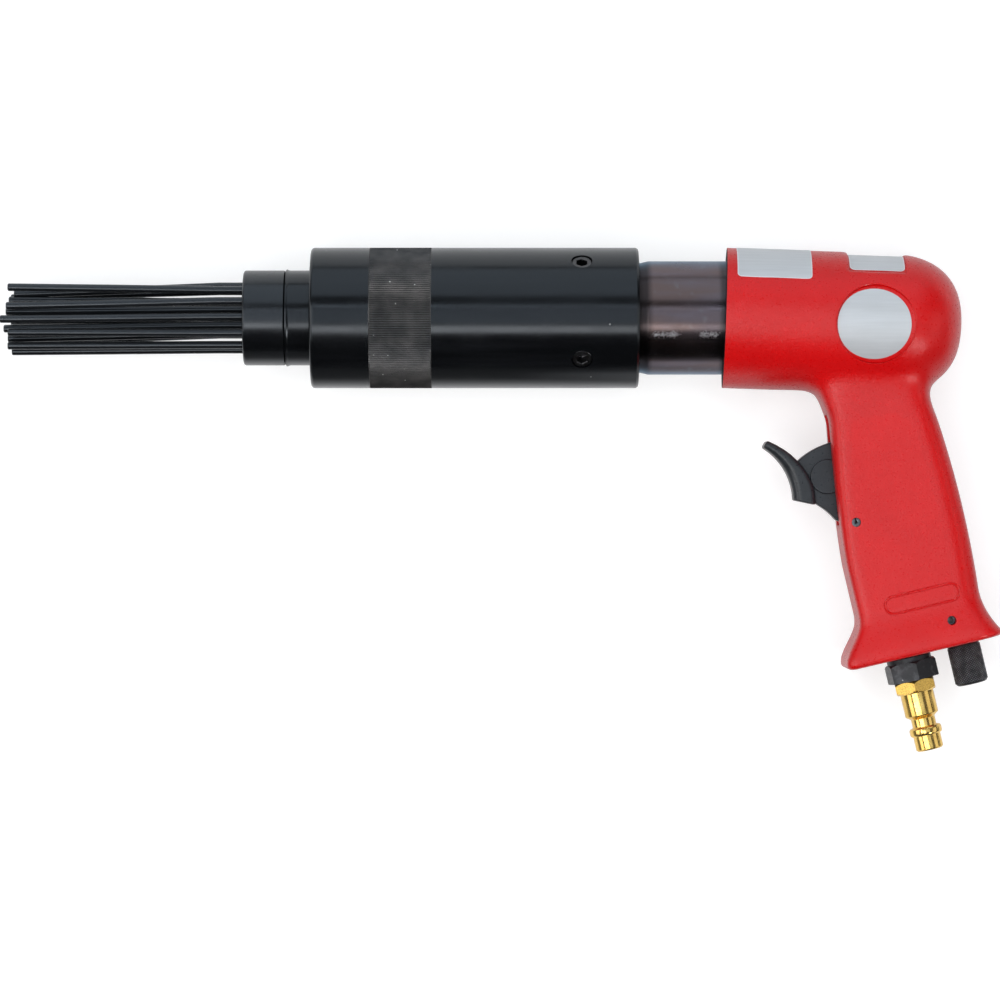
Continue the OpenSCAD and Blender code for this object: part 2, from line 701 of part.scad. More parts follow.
module hose_plug() color("goldenrod") on_bench() difference() {
    union() {
        grip_turned(0, [
            [plug_end_z, 0], [plug_end_z, plug_tip_d / 2 - edge], [plug_end_z + edge, plug_tip_d / 2],
            [plug_tip_z, plug_tip_d / 2], [plug_tip_z + edge, plug_ring_d / 2],
            [plug_ring_z - edge, plug_ring_d / 2], [plug_ring_z, plug_neck_d / 2],
            [plug_neck_z - small_edge, plug_neck_d / 2], [plug_neck_z + edge, plug_body_d / 2],
            [plug_body_z + small_edge, plug_body_d / 2], [plug_body_z + small_edge, plug_thread_d / 2],
            [plug_hex_z + plug_thread_len, plug_thread_d / 2], [plug_hex_z + plug_thread_len, 0]
        ]);
        grip_hex(plug_body_z, plug_hex_z, plug_flats, 0);
    }
    grip_rod(0, plug_end_z - past, plug_hex_z + plug_thread_len + past, plug_bore_d / 2);
}

// Air regulator: knurled knob below the base, with a stem whose half-round end closes the cross passage
module regulator() color("darkslategray") on_bench() difference() {
    grip_turned(regulator_x, [
        [-knob_len, 0], [-knob_len, knob_d / 2 - edge], [-knob_len + edge, knob_d / 2],
        [-seat_gap - small_edge, knob_d / 2], [-seat_gap, knob_d / 2 - small_edge],
        [-seat_gap, regulator_stem_d / 2],
        [o_ring_h - o_ring_d / 2 - fit, regulator_stem_d / 2], [o_ring_h - o_ring_d / 2 - fit, o_ring_groove_r],
        [o_ring_h + o_ring_d / 2 + fit, o_ring_groove_r], [o_ring_h + o_ring_d / 2 + fit, regulator_stem_d / 2],
        [regulator_pin_h - regulator_groove_half, regulator_stem_d / 2],
        [regulator_pin_h - regulator_groove_half, regulator_groove_r],
        [regulator_pin_h + regulator_groove_half, regulator_groove_r],
        [regulator_pin_h + regulator_groove_half, regulator_stem_d / 2],
        [regulator_top, regulator_stem_d / 2], [regulator_top, 0]
    ]);
    in_grip() translate([regulator_x - regulator_stem_d, passage_h - passage_d / 2, -regulator_stem_d])
        cube([regulator_stem_d, passage_d + stem_over + past, 2 * regulator_stem_d]);
}
module regulator_o_ring() color("black") on_bench()
    in_grip() translate([regulator_x, o_ring_h, 0]) rotate([-90, 0, 0]) rotate_extrude($fn = curve_fn)
        translate([o_ring_groove_r + o_ring_d / 2 + fit / 2, 0]) circle(d = o_ring_d, $fn = hole_fn);

// Barrel with its front bush, hammer bore, exhaust ways and rear spigot
module barrel() color("rosybrown") on_bench() difference() {
    turned([
        [barrel_front, anvil_d / 2 + fit], [barrel_front, barrel_d / 2 - edge],
        [barrel_front + edge, barrel_d / 2], [barrel_seat, barrel_d / 2], [barrel_seat, barrel_spigot_d / 2],
        [barrel_spigot_len, barrel_spigot_d / 2], [barrel_spigot_len, hammer_bore_r],
        [exhaust_x + exhaust_groove_w / 2, hammer_bore_r], [exhaust_x + exhaust_groove_w / 2, exhaust_ring_r],
        [exhaust_x - exhaust_groove_w / 2, exhaust_ring_r], [exhaust_x - exhaust_groove_w / 2, hammer_bore_r],
        [barrel_front + bush_len, hammer_bore_r], [barrel_front + bush_len, anvil_d / 2 + fit]
    ]);
    for (turn = [0 : 60 : 300])
        rotate([turn, 0, 0]) translate([barrel_front - past, exhaust_ring_r, 0]) rotate([0, 90, 0])
            cylinder(h = exhaust_x - barrel_front + past, d = exhaust_d, $fn = hole_fn);
    locator_hole();
}
module piston() color("silver") on_bench()
    turned([
        [piston_front, 0], [piston_front, piston_d / 2 - edge], [piston_front + edge, piston_d / 2],
        [piston_front + piston_len - edge, piston_d / 2], [piston_front + piston_len, piston_d / 2 - edge],
        [piston_front + piston_len, 0]
    ]);
module anvil() color("silver") on_bench()
    turned([
        [anvil_front, 0], [anvil_front, anvil_flange_d / 2 - edge], [anvil_front + edge, anvil_flange_d / 2],
        [anvil_rear - edge, anvil_flange_d / 2], [anvil_rear, anvil_flange_d / 2 - edge],
        [anvil_rear, anvil_d / 2], [anvil_end - edge, anvil_d / 2], [anvil_end, anvil_d / 2 - edge],
        [anvil_end, 0]
    ]);

// Flutter valve behind the barrel
module locator_hole()
    translate([0, locator_ring_r, 0])
        rod(barrel_spigot_len - locator_depth, case_x + locator_depth, locator_d / 2 + fit);
module valve_cover() color("gray") on_bench() difference() {
    rod(cover_x, case_x, barrel_spigot_d / 2);
    rod(cover_x - past, case_x + past, cover_port_r);
    locator_hole();
}
module valve_plate() color("silver") on_bench()
    rod(case_x + pocket_clear + plate_travel, case_x + pocket_clear + plate_travel + plate_t, plate_d / 2);
module valve_case() color("gray") on_bench() difference() {
    rod(case_x, chest_end, barrel_spigot_d / 2);
    rod(case_x - past, case_x + plate_pocket_len, plate_d / 2 + pocket_clear);
    for (turn = [45 : 90 : 315])
        rotate([turn, 0, 0]) translate([0, case_port_ring_r, 0]) rod(case_x, chest_end + past, case_port_r);
    locator_hole();
}
module locating_pin() color("silver") on_bench()
    translate([0, locator_ring_r, 0])
        rod(barrel_spigot_len - locator_depth + pocket_clear, case_x + locator_depth - pocket_clear, locator_d / 2);

// Needles, the holder that carries their heads and the spring that returns them
module needle(i) color("dimgray") on_bench() {
    at = needle_at(i);
    tip = head_rear - needle_len + wear_of(i);
    translate([0, at[0], at[1]]) turned([
        [tip, 0], [tip, needle_d / 2 - small_edge], [tip + small_edge, needle_d / 2],
        [head_rear - head_t, needle_d / 2], [head_rear - head_t, head_d / 2], [head_rear, head_d / 2],
        [head_rear, 0]
    ]);
}
module needle_holder() color("gray") on_bench() difference() {
    rod(holder_front, holder_rear, holder_r);
    for (i = [0 : needle_count - 1])
        translate([0, needle_at(i)[0], needle_at(i)[1]]) {
            rod(holder_front - past, holder_rear, needle_hole_r);
            rod(head_rear - head_t - fit, holder_rear + past, head_hole_r);
        }
}
module needle_spring() color("silver") on_bench()
    translate([spring_seat, 0, 0]) rotate([0, 90, 0])
        coil(spring_d, spring_wire, holder_front - spring_seat, spring_turns);

// Tube that slides on the barrel, with the neck that carries the nose
module tube() color("#2b2d33") on_bench() difference() {
    turned(concat(
        [[neck_front, spigot_r], [neck_front, neck_d / 2 - small_edge], [neck_front + small_edge, neck_d / 2]],
        [[tube_front, neck_d / 2]],
        [
            for (turn = [90 : -15 : 0])
                [tube_front + tube_round * (1 - sin(turn)), tube_r - tube_round * (1 - cos(turn))]
        ],
        [
            [tube_rear - edge, tube_r], [tube_rear, tube_r - edge], [tube_rear, tube_bore_d / 2],
            [spring_seat, tube_bore_d / 2], [spring_seat, spigot_r]
        ]
    ));
    each_screw() cylinder(h = tube_r + past, d = screw_d, $fn = curve_fn);
}
module nose_cap() color("#3a3a3c") on_bench()
    turned([
        [nose_front, guide_r - guide_rim + small_edge], [nose_front, neck_d / 2 - edge],
        [nose_front + edge, neck_d / 2], [neck_front - small_edge, neck_d / 2],
        [neck_front, neck_d / 2 - small_edge], [neck_front, spigot_r],
        [neck_front + spigot_len, spigot_r], [neck_front + spigot_len, guide_r],
        [nose_front + nose_lip, guide_r], [nose_front + nose_lip, guide_r - guide_rim + small_edge]
    ]);
module needle_guide() color("gray") on_bench() difference() {
    rod(nose_front + nose_lip, nose_front + nose_lip + guide_t, guide_r);
    for (i = [0 : needle_count - 1])
        translate([0, needle_at(i)[0], needle_at(i)[1]])
            rod(nose_front, nose_front + nose_lip + guide_t + past, guide_hole_r);
}

// Set screws that clamp the tube, spread round it
module each_screw()
    for (turn = [0 : 90 : 270]) translate([screw_x, 0, 0]) rotate([-screw_turn - turn, 0, 0]) children();
module set_screws() color("silver") on_bench() each_screw() {
    foot = barrel_d / 2 + fit;
    top = tube_r - edge;
    difference() {
        translate([0, 0, foot]) cylinder(h = top - foot, d = screw_d - 2 * fit, $fn = curve_fn);
        translate([0, 0, (foot + top) / 2])
            cylinder(h = tube_r, r = screw_socket / 2 / cos(30), $fn = 6);
    }
}

handle();
trigger();
trigger_pin();
push_pin();
tip_valve();
valve_seat();
throttle_spring();
inlet_bushing();
inlet_screen();
hose_plug();
regulator();
regulator_o_ring();
regulator_pin();
barrel();
piston();
valve_cover();
valve_plate();
valve_case();
locating_pin();
anvil();
needle_holder();
needle_spring();
tube();
nose_cap();
needle_guide();
set_screws();
for (i = [1 : needle_count])
    needle(i - 1);
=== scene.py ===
"""Looks of the needle scaler: its finished pieces, their materials and the studio round them."""

import json
import math

import bpy
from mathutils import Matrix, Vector


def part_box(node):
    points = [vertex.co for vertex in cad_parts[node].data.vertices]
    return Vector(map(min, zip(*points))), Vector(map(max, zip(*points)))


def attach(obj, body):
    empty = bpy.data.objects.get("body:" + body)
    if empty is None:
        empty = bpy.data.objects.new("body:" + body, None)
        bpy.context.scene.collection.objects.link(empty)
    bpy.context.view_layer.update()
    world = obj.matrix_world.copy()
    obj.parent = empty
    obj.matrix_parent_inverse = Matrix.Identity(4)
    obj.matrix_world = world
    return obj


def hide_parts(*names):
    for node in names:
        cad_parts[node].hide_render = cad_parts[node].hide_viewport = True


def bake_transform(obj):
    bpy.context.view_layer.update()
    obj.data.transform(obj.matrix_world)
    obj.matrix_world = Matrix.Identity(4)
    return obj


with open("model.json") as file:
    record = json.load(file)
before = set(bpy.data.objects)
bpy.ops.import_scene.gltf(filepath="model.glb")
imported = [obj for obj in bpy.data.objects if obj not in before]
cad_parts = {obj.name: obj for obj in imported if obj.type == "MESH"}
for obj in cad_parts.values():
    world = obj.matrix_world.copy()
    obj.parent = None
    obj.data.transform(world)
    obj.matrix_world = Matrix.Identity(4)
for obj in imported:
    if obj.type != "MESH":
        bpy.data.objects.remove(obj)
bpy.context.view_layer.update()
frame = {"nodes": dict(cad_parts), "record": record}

bl_info = {
    "name": "Needle scaler",
    "version": (1, 0, 0),
    "blender": (4, 5, 0),
    "location": "3D View > Sidebar > Needle scaler",
    "description": "Finishes the pieces of a pneumatic needle scaler on its CAD frame",
    "category": "Object",
}

MM = 0.001
RECORD = frame["record"]
BODY_OF = {node: body for body, nodes in RECORD["behaviour"]["bodies"].items() for node in nodes}
SLOT_OF = {row["node"]: row["material_slot"] for row in RECORD["subparts"]}

# The barrel's frame, in mm: X runs back along the barrel from the front of the handle, Y is up in the photo
BARREL_SHOW = 32.3
TUBE_LOW, TUBE_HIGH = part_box("tube")
MIDDLE = (TUBE_LOW + TUBE_HIGH) / 2
ORIGIN = Vector((TUBE_HIGH.x + BARREL_SHOW * MM, MIDDLE.y, MIDDLE.z))

# Pixels of the photo: its middle, the barrel frame's origin, and the pixels in a mm at the barrel's height
PHOTO_MIDDLE = 500
PHOTO_ORIGIN = (722, 318)
PHOTO_SCALE = 2.6

# The grip's frame, in mm: a runs back across the grip and b up its lean, from the air inlet
INLET = (71.6, -130.1)
GRIP_LEAN = math.radians(13.3)
PIVOT = (-8.8, 55.1)
REGULATOR_A = 21.6
REGULATOR_PIN = (17.9, 10.4)

# The body leans a little below the barrel axis, towards its domed end, and its front is not quite square
BODY_LEAN = math.radians(2)
FRONT_SLANT = math.radians(1.3)
BODY_R = 27.0
BODY_LEN = 61.0
DOME_LEN = 29.9
DOME_FULLNESS = 2.5
BODY_FRONT = BODY_R * math.sin(BODY_LEAN)
POCKET_X = 45.8
POCKET_LEN = 22.0
POCKET_FLOOR = BODY_R - 1.2
POCKET_HALF = math.radians(45)
RECESS_X = 56.4
RECESS_R = 15.0
RECESS_TURN = math.radians(93)


def to_bench(x, y, z=0.0):
    """Point of the barrel's frame on the bench, in metres."""
    return ORIGIN + Vector((x, y, z)) * MM


def to_grip(a, b, z=0.0):
    """Point of the grip's frame on the bench, in metres."""
    c, s = math.cos(GRIP_LEAN), math.sin(GRIP_LEAN)
    return to_bench(INLET[0] + a * c - b * s, INLET[1] + a * s + b * c, z)


def to_body(x, r, turn):
    """Point on the leaning body: along its axis, away from it, and turned from the top towards +Z."""
    c, s = math.cos(BODY_LEAN), math.sin(BODY_LEAN)
    y, z = r * math.cos(turn), r * math.sin(turn)
    return to_bench(BODY_FRONT + x * c + y * s, y * c - x * s, z)


BARREL_AXIS = Vector((1, 0, 0))
GRIP_AXIS = Vector((-math.sin(GRIP_LEAN), math.cos(GRIP_LEAN), 0))
BODY_AXIS = Vector((math.cos(BODY_LEAN), -math.sin(BODY_LEAN), 0))
ACROSS = Vector((0, 0, 1))
FRONT_AXIS = (BODY_AXIS + ACROSS * math.tan(FRONT_SLANT)).normalized()
FRONT_UP = Vector((math.sin(BODY_LEAN), math.cos(BODY_LEAN), 0))


def to_mode(mode):
    """Switches the active object to edit mode or back."""
    bpy.ops.object.mode_set(mode=mode)


def deselect():
    """Leaves edit mode with nothing selected."""
    if bpy.context.mode != "OBJECT":
        to_mode("OBJECT")
    bpy.ops.object.select_all(action="DESELECT")


def pick(*objects):
    """Selects these objects only, with the first one active."""
    deselect()
    for obj in objects:
        obj.select_set(True)
    bpy.context.view_layer.objects.active = objects[0]


def edit_all(obj):
    """Enters edit mode on a piece with all of it selected."""
    pick(obj)
    to_mode("EDIT")
    bpy.ops.mesh.select_all(action="SELECT")


def tidy(obj):
    """Merges doubles, drops loose edges and turns the faces outwards."""
    edit_all(obj)
    bpy.ops.mesh.remove_doubles(threshold=2e-6)
    bpy.ops.mesh.delete_loose()
    bpy.ops.mesh.select_all(action="SELECT")
    bpy.ops.mesh.normals_make_consistent(inside=False)
    to_mode("OBJECT")


def ring(name, points):
    """Closed loop of edges through the points."""
    deselect()
    bpy.ops.mesh.primitive_circle_add(vertices=len(points))
    obj = bpy.context.object
    obj.name = name
    for vertex, point in zip(obj.data.vertices, points):
        vertex.co = point
    return obj


def settle():
    """Applies the place, turn and scale of the selected object to its mesh."""
    bpy.ops.object.transform_apply(location=True, rotation=True, scale=True)


def join(*objects):
    """Joins the objects into the first one."""
    pick(*objects)
    bpy.ops.object.join()
    return objects[0]


def loft(name, sections):
    """Closed skin through a row of rings with the same number of points."""
    strips = []
    for first, second in zip(sections, sections[1:]):
        strip = join(ring(name, first), ring(name, second))
        edit_all(strip)
        bpy.ops.mesh.bridge_edge_loops(type="SINGLE")
        strips.append(strip)
    obj = join(*strips)
    tidy(obj)
    edit_all(obj)
    bpy.ops.mesh.fill_holes(sides=0)
    tidy(obj)
    return obj


def turn(name, points, centre, axis, steps=96, angle=2 * math.pi):
    """Solid turned about an axis from a closed ring of points, or from a chain that ends on the axis."""
    obj = ring(name, points)
    edit_all(obj)
    if angle < 2 * math.pi:
        bpy.ops.mesh.edge_face_add()
    bpy.ops.mesh.spin(steps=steps, angle=-angle, center=centre, axis=axis)
    tidy(obj)
    return obj


def turn_on_barrel(name, profile, steps=96):
    """Piece turned about the barrel axis from points of (x, radius)."""
    return turn(name, [to_bench(x, r) for x, r in profile], ORIGIN, BARREL_AXIS, steps)


def turn_on_grip(name, a, profile, steps=96):
    """Piece turned about a line up the grip from points of (b, radius)."""
    return turn(name, [to_grip(a, b, r) for b, r in profile], to_grip(a, 0), GRIP_AXIS, steps)


def rod(name, start, end, radius, sides=48):
    """Round bar between two points of the bench."""
    deselect()
    line = end - start
    bpy.ops.mesh.primitive_cylinder_add(
        vertices=sides,
        radius=radius * MM,
        depth=line.length,
        location=(start + end) / 2,
        rotation=line.to_track_quat("Z", "Y").to_euler(),
    )
    obj = bpy.context.object
    obj.name = name
    settle()
    return obj


def plate(name, outline, half):
    """Flat piece of the grip's frame with an outline of (a, b) points, as thick as twice half."""
    obj = ring(name, [to_grip(a, b, -half) for a, b in outline])
    edit_all(obj)
    bpy.ops.mesh.edge_face_add()
    bpy.ops.mesh.extrude_region_move(TRANSFORM_OT_translate={"value": (0, 0, 2 * half * MM)})
    tidy(obj)
    return obj


def modify(obj, kind, **settings):
    """Adds a modifier and applies it."""
    pick(obj)
    modifier = obj.modifiers.new(kind.title(), kind)
    for key, value in settings.items():
        setattr(modifier, key, value)
    bpy.ops.object.modifier_apply(modifier=modifier.name)
    return obj


def combine(obj, other, operation="DIFFERENCE"):
    """Cuts one solid with another or joins them, which uses up the second one."""
    modify(obj, "BOOLEAN", operation=operation, solver="EXACT", object=other)
    bpy.data.objects.remove(other)
    return obj


def soften(obj, width, segments=2, angle=30, worn=False):
    """Rounds the sharp edges of a piece, giving them its second material when asked: worn edges on the
    fittings and screws, a painted highlight on the trigger.
    """
    return modify(
        obj,
        "BEVEL",
        width=width * MM,
        segments=segments,
        limit_method="ANGLE",
        angle_limit=math.radians(angle),
        material=1 if worn else -1,
    )


def seat(obj, materials, nodes, body=None, angle=35):
    """Shades and paints a finished piece, and puts it in the place of its CAD nodes."""
    pick(obj)
    bpy.ops.object.shade_smooth_by_angle(angle=math.radians(angle))
    modify(obj, "WEIGHTED_NORMAL", keep_sharp=True)
    for material in materials:
        obj.data.materials.append(material)
    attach(obj, body or BODY_OF[nodes[0]])
    if nodes:
        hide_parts(*nodes)


# Sockets of a colour mix: its factor and two colours, and its result
MIX_INPUTS = (0, 6, 7)
MIX_RESULT = 2


class Finish:
    """One procedural material on Object coordinates."""

    def __init__(self, name, colour, metallic=0.0, roughness=0.4):
        self.material = bpy.data.materials.new(name)
        self.material.use_nodes = True
        self.material.diffuse_color = (*colour[:3], 1)
        self.tree = self.material.node_tree
        self.shader = self.tree.nodes["Principled BSDF"]
        self.set(metallic=metallic, roughness=roughness)
        self.shader.inputs["Base Color"].default_value = (*colour[:3], 1)
        self.place = self.add("ShaderNodeTexCoord").outputs["Object"]
        self.last_bump = None

    def set(self, **values):
        """Constants on the shader's own sockets."""
        for key, value in values.items():
            self.shader.inputs[key.replace("_", " ").title().replace("Ior", "IOR")].default_value = value
        return self

    def add(self, kind, inputs=None, **settings):
        """New node with its settings, inputs linked or set."""
        node = self.tree.nodes.new(kind)
        for key, value in settings.items():
            setattr(node, key, value)
        for key, value in (inputs or {}).items():
            self.feed(node.inputs[key], value)
        return node

    def feed(self, socket, value):
        """Links an output to a socket, or sets the socket."""
        if isinstance(value, bpy.types.NodeSocket):
            self.tree.links.new(value, socket)
        else:
            socket.default_value = value

    def noise(self, scale, detail=2.0, stretch=None):
        """Soft noise from 0 to 1, with the scale in cells a metre."""
        place = self.place
        if stretch:
            place = self.add("ShaderNodeMapping", {"Vector": place, "Scale": stretch}).outputs["Vector"]
        inputs = {"Vector": place, "Scale": scale, "Detail": detail}
        return self.add("ShaderNodeTexNoise", inputs).outputs["Fac"]

    def span(self, value, low, high, to_low=0.0, to_high=1.0):
        """Maps a value from one range to another, held inside it."""
        inputs = {"Value": value, "From Min": low, "From Max": high, "To Min": to_low, "To Max": to_high}
        return self.add("ShaderNodeMapRange", inputs).outputs["Result"]

    def drift(self, scale, detail, low=0.0, high=1.0, limits=(0.3, 0.7)):
        """Value that drifts between two with soft noise."""
        return self.span(self.noise(scale, detail), *limits, low, high)

    def window(self, value, middle, half, soft):
        """One near a middle value, falling to 0 over the soft edge inside the half width."""
        off = self.calc("ABSOLUTE", self.calc("SUBTRACT", value, middle))
        return self.span(off, half, half - soft)

    def calc(self, operation, first, second=0.0):
        """One step of arithmetic."""
        return self.add("ShaderNodeMath", {0: first, 1: second}, operation=operation).outputs["Value"]

    def mix(self, factor, first, second):
        """Colour between two colours."""
        node = self.add("ShaderNodeMix", data_type="RGBA")
        for index, value in zip(MIX_INPUTS, (factor, first, second)):
            plain = isinstance(value, (bpy.types.NodeSocket, float, int))
            self.feed(node.inputs[index], value if plain else (*value[:3], 1))
        return node.outputs[MIX_RESULT]

    def vector(self, operation, first, second=(0, 0, 0), output="Vector"):
        """One step of vector arithmetic."""
        return self.add("ShaderNodeVectorMath", {0: first, 1: second}, operation=operation).outputs[output]

    def from_axis(self, point, axis):
        """Distance from a line through a point."""
        off = self.vector("SUBTRACT", self.place, point)
        return self.vector("LENGTH", self.vector("CROSS_PRODUCT", off, axis), output="Value")

    def specks(self, scale, size, share):
        """Small round specks, in a share of the cells."""
        cells = self.add("ShaderNodeTexVoronoi", {"Vector": self.place, "Scale": scale}).outputs
        split = self.add("ShaderNodeSeparateColor", {"Color": cells["Color"]})
        chosen = self.calc("LESS_THAN", split.outputs[0], share)
        return self.calc("MULTIPLY", chosen, self.span(cells["Distance"], size, 0.6 * size))

    def colour(self, value):
        """Colour from a pattern."""
        self.feed(self.shader.inputs["Base Color"], value)
        return self

    def roughness(self, value):
        """Roughness from a pattern."""
        self.feed(self.shader.inputs["Roughness"], value)
        return self

    def bump(self, height, depth, strength=1.0):
        """Relief of the surface, added to any relief before it."""
        node = self.add("ShaderNodeBump", {"Height": height, "Distance": depth * MM, "Strength": strength})
        if self.last_bump:
            self.tree.links.new(self.last_bump, node.inputs["Normal"])
        self.last_bump = node.outputs["Normal"]
        self.feed(self.shader.inputs["Normal"], self.last_bump)
        return self


def shade_of(colour, factor):
    """The colour, darker or lighter by a factor."""
    return tuple(min(1.0, c * factor) for c in colour[:3])


def red_paint(colour):
    """Satin textured paint on a casting."""
    finish = Finish("red_paint", colour).set(specular_ior_level=0.42)
    base = finish.mix(finish.drift(45, 3), shade_of(colour, 0.95), shade_of(colour, 1.04))
    finish.colour(finish.mix(finish.specks(160, 0.04, 0.06), base, shade_of(colour, 0.4)))
    finish.roughness(finish.drift(900, 2, 0.26, 0.35))
    return finish.bump(finish.noise(1350, 2), 0.17, 0.7).bump(finish.noise(2800, 2), 0.04, 0.4).material


def moulded_black(name, colour):
    """Semi-gloss moulded trigger."""
    finish = Finish(name, colour)
    finish.colour(finish.mix(finish.drift(120, 3), shade_of(colour, 0.85), shade_of(colour, 1.2)))
    finish.roughness(finish.drift(700, 2, 0.26, 0.38))
    return finish.bump(finish.noise(2600, 2), 0.02, 0.4).material


def oxide_steel(name, colour, worn, roughness, shine=0.55):
    """Blackened turned steel with faint tool marks, worn streaks and dust."""
    finish = Finish(name, colour).set(specular_ior_level=shine, specular_tint=(0.86, 0.93, 1, 1))
    streak = finish.span(finish.noise(1.0, 4, (18, 260, 260)), 0.45, 0.8)
    base = finish.mix(streak, colour, worn)
    finish.colour(finish.mix(finish.specks(120, 0.035, 0.25), base, (0.4, 0.4, 0.4)))
    finish.roughness(finish.drift(60, 3, roughness - 0.03, roughness + 0.05))
    marks = finish.noise(1.0, 3, (1600, 12, 12))
    return finish.bump(marks, 0.001, 0.1).bump(finish.noise(420, 3), 0.01, 0.06).material


def knurled_steel(colour, worn):
    """Steel of a knurled band, worn in patches."""
    finish = Finish("knurled_steel", colour, metallic=0.55)
    base = finish.mix(finish.drift(160, 4, limits=(0.35, 0.75)), colour, worn)
    finish.colour(finish.mix(finish.specks(330, 0.1, 0.4), base, (0.6, 0.6, 0.58)))
    finish.roughness(finish.drift(500, 2, 0.3, 0.44))
    return finish.bump(finish.noise(1800, 2), 0.03, 0.5).material


def blued_steel(brown, violet, grey):
    """Heat-blued barrel with brown and violet stains, painted shade at both ends and a scuffed strip."""
    finish = Finish("blued_steel", brown, metallic=1.0).set(specular_tint=(0.7, 0.86, 1, 1))
    stain = finish.span(finish.noise(1.0, 3, (30, 160, 160)), 0.35, 0.66)
    base = finish.mix(stain, brown, violet)
    base = finish.mix(finish.drift(240, 4, limits=(0.6, 0.85)), base, grey)
    along, across, _ = finish.add("ShaderNodeSeparateXYZ", {"Vector": finish.place}).outputs
    # Painted shade: darker next to the tube for the tube's shadow, and next to the handle for a dark
    # reflection of the gap there.
    shadow_by_tube = finish.span(along, to_bench(-27, 0).x, to_bench(-29.4, 0).x, 0.0, 0.8)
    dark_reflection_by_handle = finish.span(along, to_bench(-2.2, 0).x, to_bench(-0.6, 0).x, 0.0, 0.6)
    base = finish.mix(finish.calc("MAXIMUM", shadow_by_tube, dark_reflection_by_handle), base, shade_of(grey, 0.12))
    strip = finish.window(across, ORIGIN.y - 7.2 * MM, 2.2 * MM, 2.0 * MM)
    first = finish.window(along, to_bench(-22.4, 0).x, 6.6 * MM, 2.4 * MM)
    second = finish.window(along, to_bench(-5.9, 0).x, 5.2 * MM, 2.4 * MM)
    patches = finish.calc("MULTIPLY", strip, finish.calc("MAXIMUM", first, second))
    grit = finish.calc("ADD", finish.noise(1300, 5), finish.calc("MULTIPLY", patches, 0.3))
    scuff = finish.calc("MULTIPLY", patches, finish.span(grit, 0.6, 0.98))
    finish.colour(finish.mix(scuff, base, (0.6, 0.6, 0.63)))
    finish.roughness(finish.calc("ADD", finish.drift(70, 3, 0.2, 0.28), finish.calc("MULTIPLY", scuff, 0.3)))
    drawn = finish.noise(1.0, 3, (14, 1300, 1300))
    return finish.bump(finish.noise(300, 4), 0.012, 0.12).bump(drawn, 0.004, 0.3).material


def black_fitting(name, colour, worn, rub=(0.5, 0.85), crest=None):
    """Black finish of the fittings, rubbed to grey in places and on the knob's crests."""
    finish = Finish(name, colour, metallic=0.45)
    base = finish.mix(finish.drift(420, 4, limits=rub), colour, worn)
    if crest:
        off = finish.from_axis(to_grip(REGULATOR_A, 0), GRIP_AXIS)
        base = finish.mix(finish.span(off, *(r * MM for r in crest)), shade_of(colour, 0.35), base)
    finish.colour(finish.mix(finish.specks(700, 0.2, 0.04), base, (0.42, 0.42, 0.44)))
    finish.roughness(finish.drift(800, 2, 0.3, 0.44))
    return finish.bump(finish.noise(1500, 3), 0.02, 0.35).material


def polished_brass(name, colour, tarnish, grain):
    """Turned brass with tarnish in soft patches or in fine grain."""
    finish = Finish(name, colour, metallic=0.9)
    finish.colour(finish.mix(finish.drift(grain, 3, limits=(0.4, 0.75)), colour, tarnish))
    finish.roughness(finish.drift(420, 3, 0.12, 0.22))
    return finish.bump(finish.noise(1400, 2), 0.004, 0.3).material


def silver_foil(name, colour):
    """Thin brushed foil with faint creases."""
    finish = Finish(name, colour, metallic=0.3)
    lines = finish.noise(1.0, 2, (40, 900, 900))
    finish.colour(finish.mix(finish.span(lines, 0.3, 0.7), shade_of(colour, 0.96), shade_of(colour, 1.04)))
    finish.roughness(finish.drift(60, 3, 0.28, 0.42))
    return finish.bump(finish.noise(55, 2), 0.25, 0.3).bump(lines, 0.006, 0.4).material


def bright_steel(name, colour, roughness):
    """Plain ground steel of the inner pieces, the pins and the screws."""
    finish = Finish(name, colour, metallic=1.0)
    finish.colour(finish.mix(finish.drift(180, 3), shade_of(colour, 0.82), shade_of(colour, 1.08)))
    finish.roughness(finish.drift(900, 2, roughness - 0.06, roughness + 0.1))
    return finish.bump(finish.noise(2000, 2), 0.01, 0.4).material


def seal_rubber(name, colour):
    """Matt black of the seals, also a painted shade on the handle's front face."""
    finish = Finish(name, colour, roughness=0.75).set(specular_ior_level=0.3)
    finish.colour(finish.mix(finish.noise(400, 2), shade_of(colour, 0.8), shade_of(colour, 1.3)))
    return finish.bump(finish.noise(2500, 2), 0.03, 0.4).material


def length(name, description, default):
    """Setting in mm."""
    return bpy.props.FloatProperty(name=name, description=description, default=default * MM, unit="LENGTH")


def whole(name, description, default):
    """Setting that counts something."""
    return bpy.props.IntProperty(name=name, description=description, default=default)


def tint(name, description, default):
    """Colour setting."""
    return bpy.props.FloatVectorProperty(
        name=name, description=description, default=default, size=3, min=0, max=1, subtype="COLOR"
    )


class CastingSettings(bpy.types.PropertyGroup):
    """Sizes and colours of the cast handle."""

    voxel: length("Voxel", "Cell of the casting's skin", 0.75)
    blend: whole("Blend", "Passes that soften the root of the grip", 240)
    groove: length("Groove", "Radius of the framed field's groove", 0.55)
    foil: length("Foil", "Thickness of the bare foils", 0.12)
    paint: tint("Paint", "Paint of the casting", (0.56, 0.003, 0.004))
    silver: tint("Silver", "Bare foils", (0.53, 0.55, 0.57))


class TriggerSettings(bpy.types.PropertyGroup):
    """Sizes and colour of the trigger."""

    web: length("Web", "Thickness of the web", 9)
    boss: length("Boss", "Thickness across the bosses", 11)
    finger: length("Finger", "Width of the finger piece", 15)
    black: tint("Black", "Moulded trigger", (0.016, 0.018, 0.0212))
    # Painted highlight: the lighter colour of the trigger's rounded edges.
    edge: tint("Edge", "Worn edges of the trigger", (0.075, 0.08, 0.088))


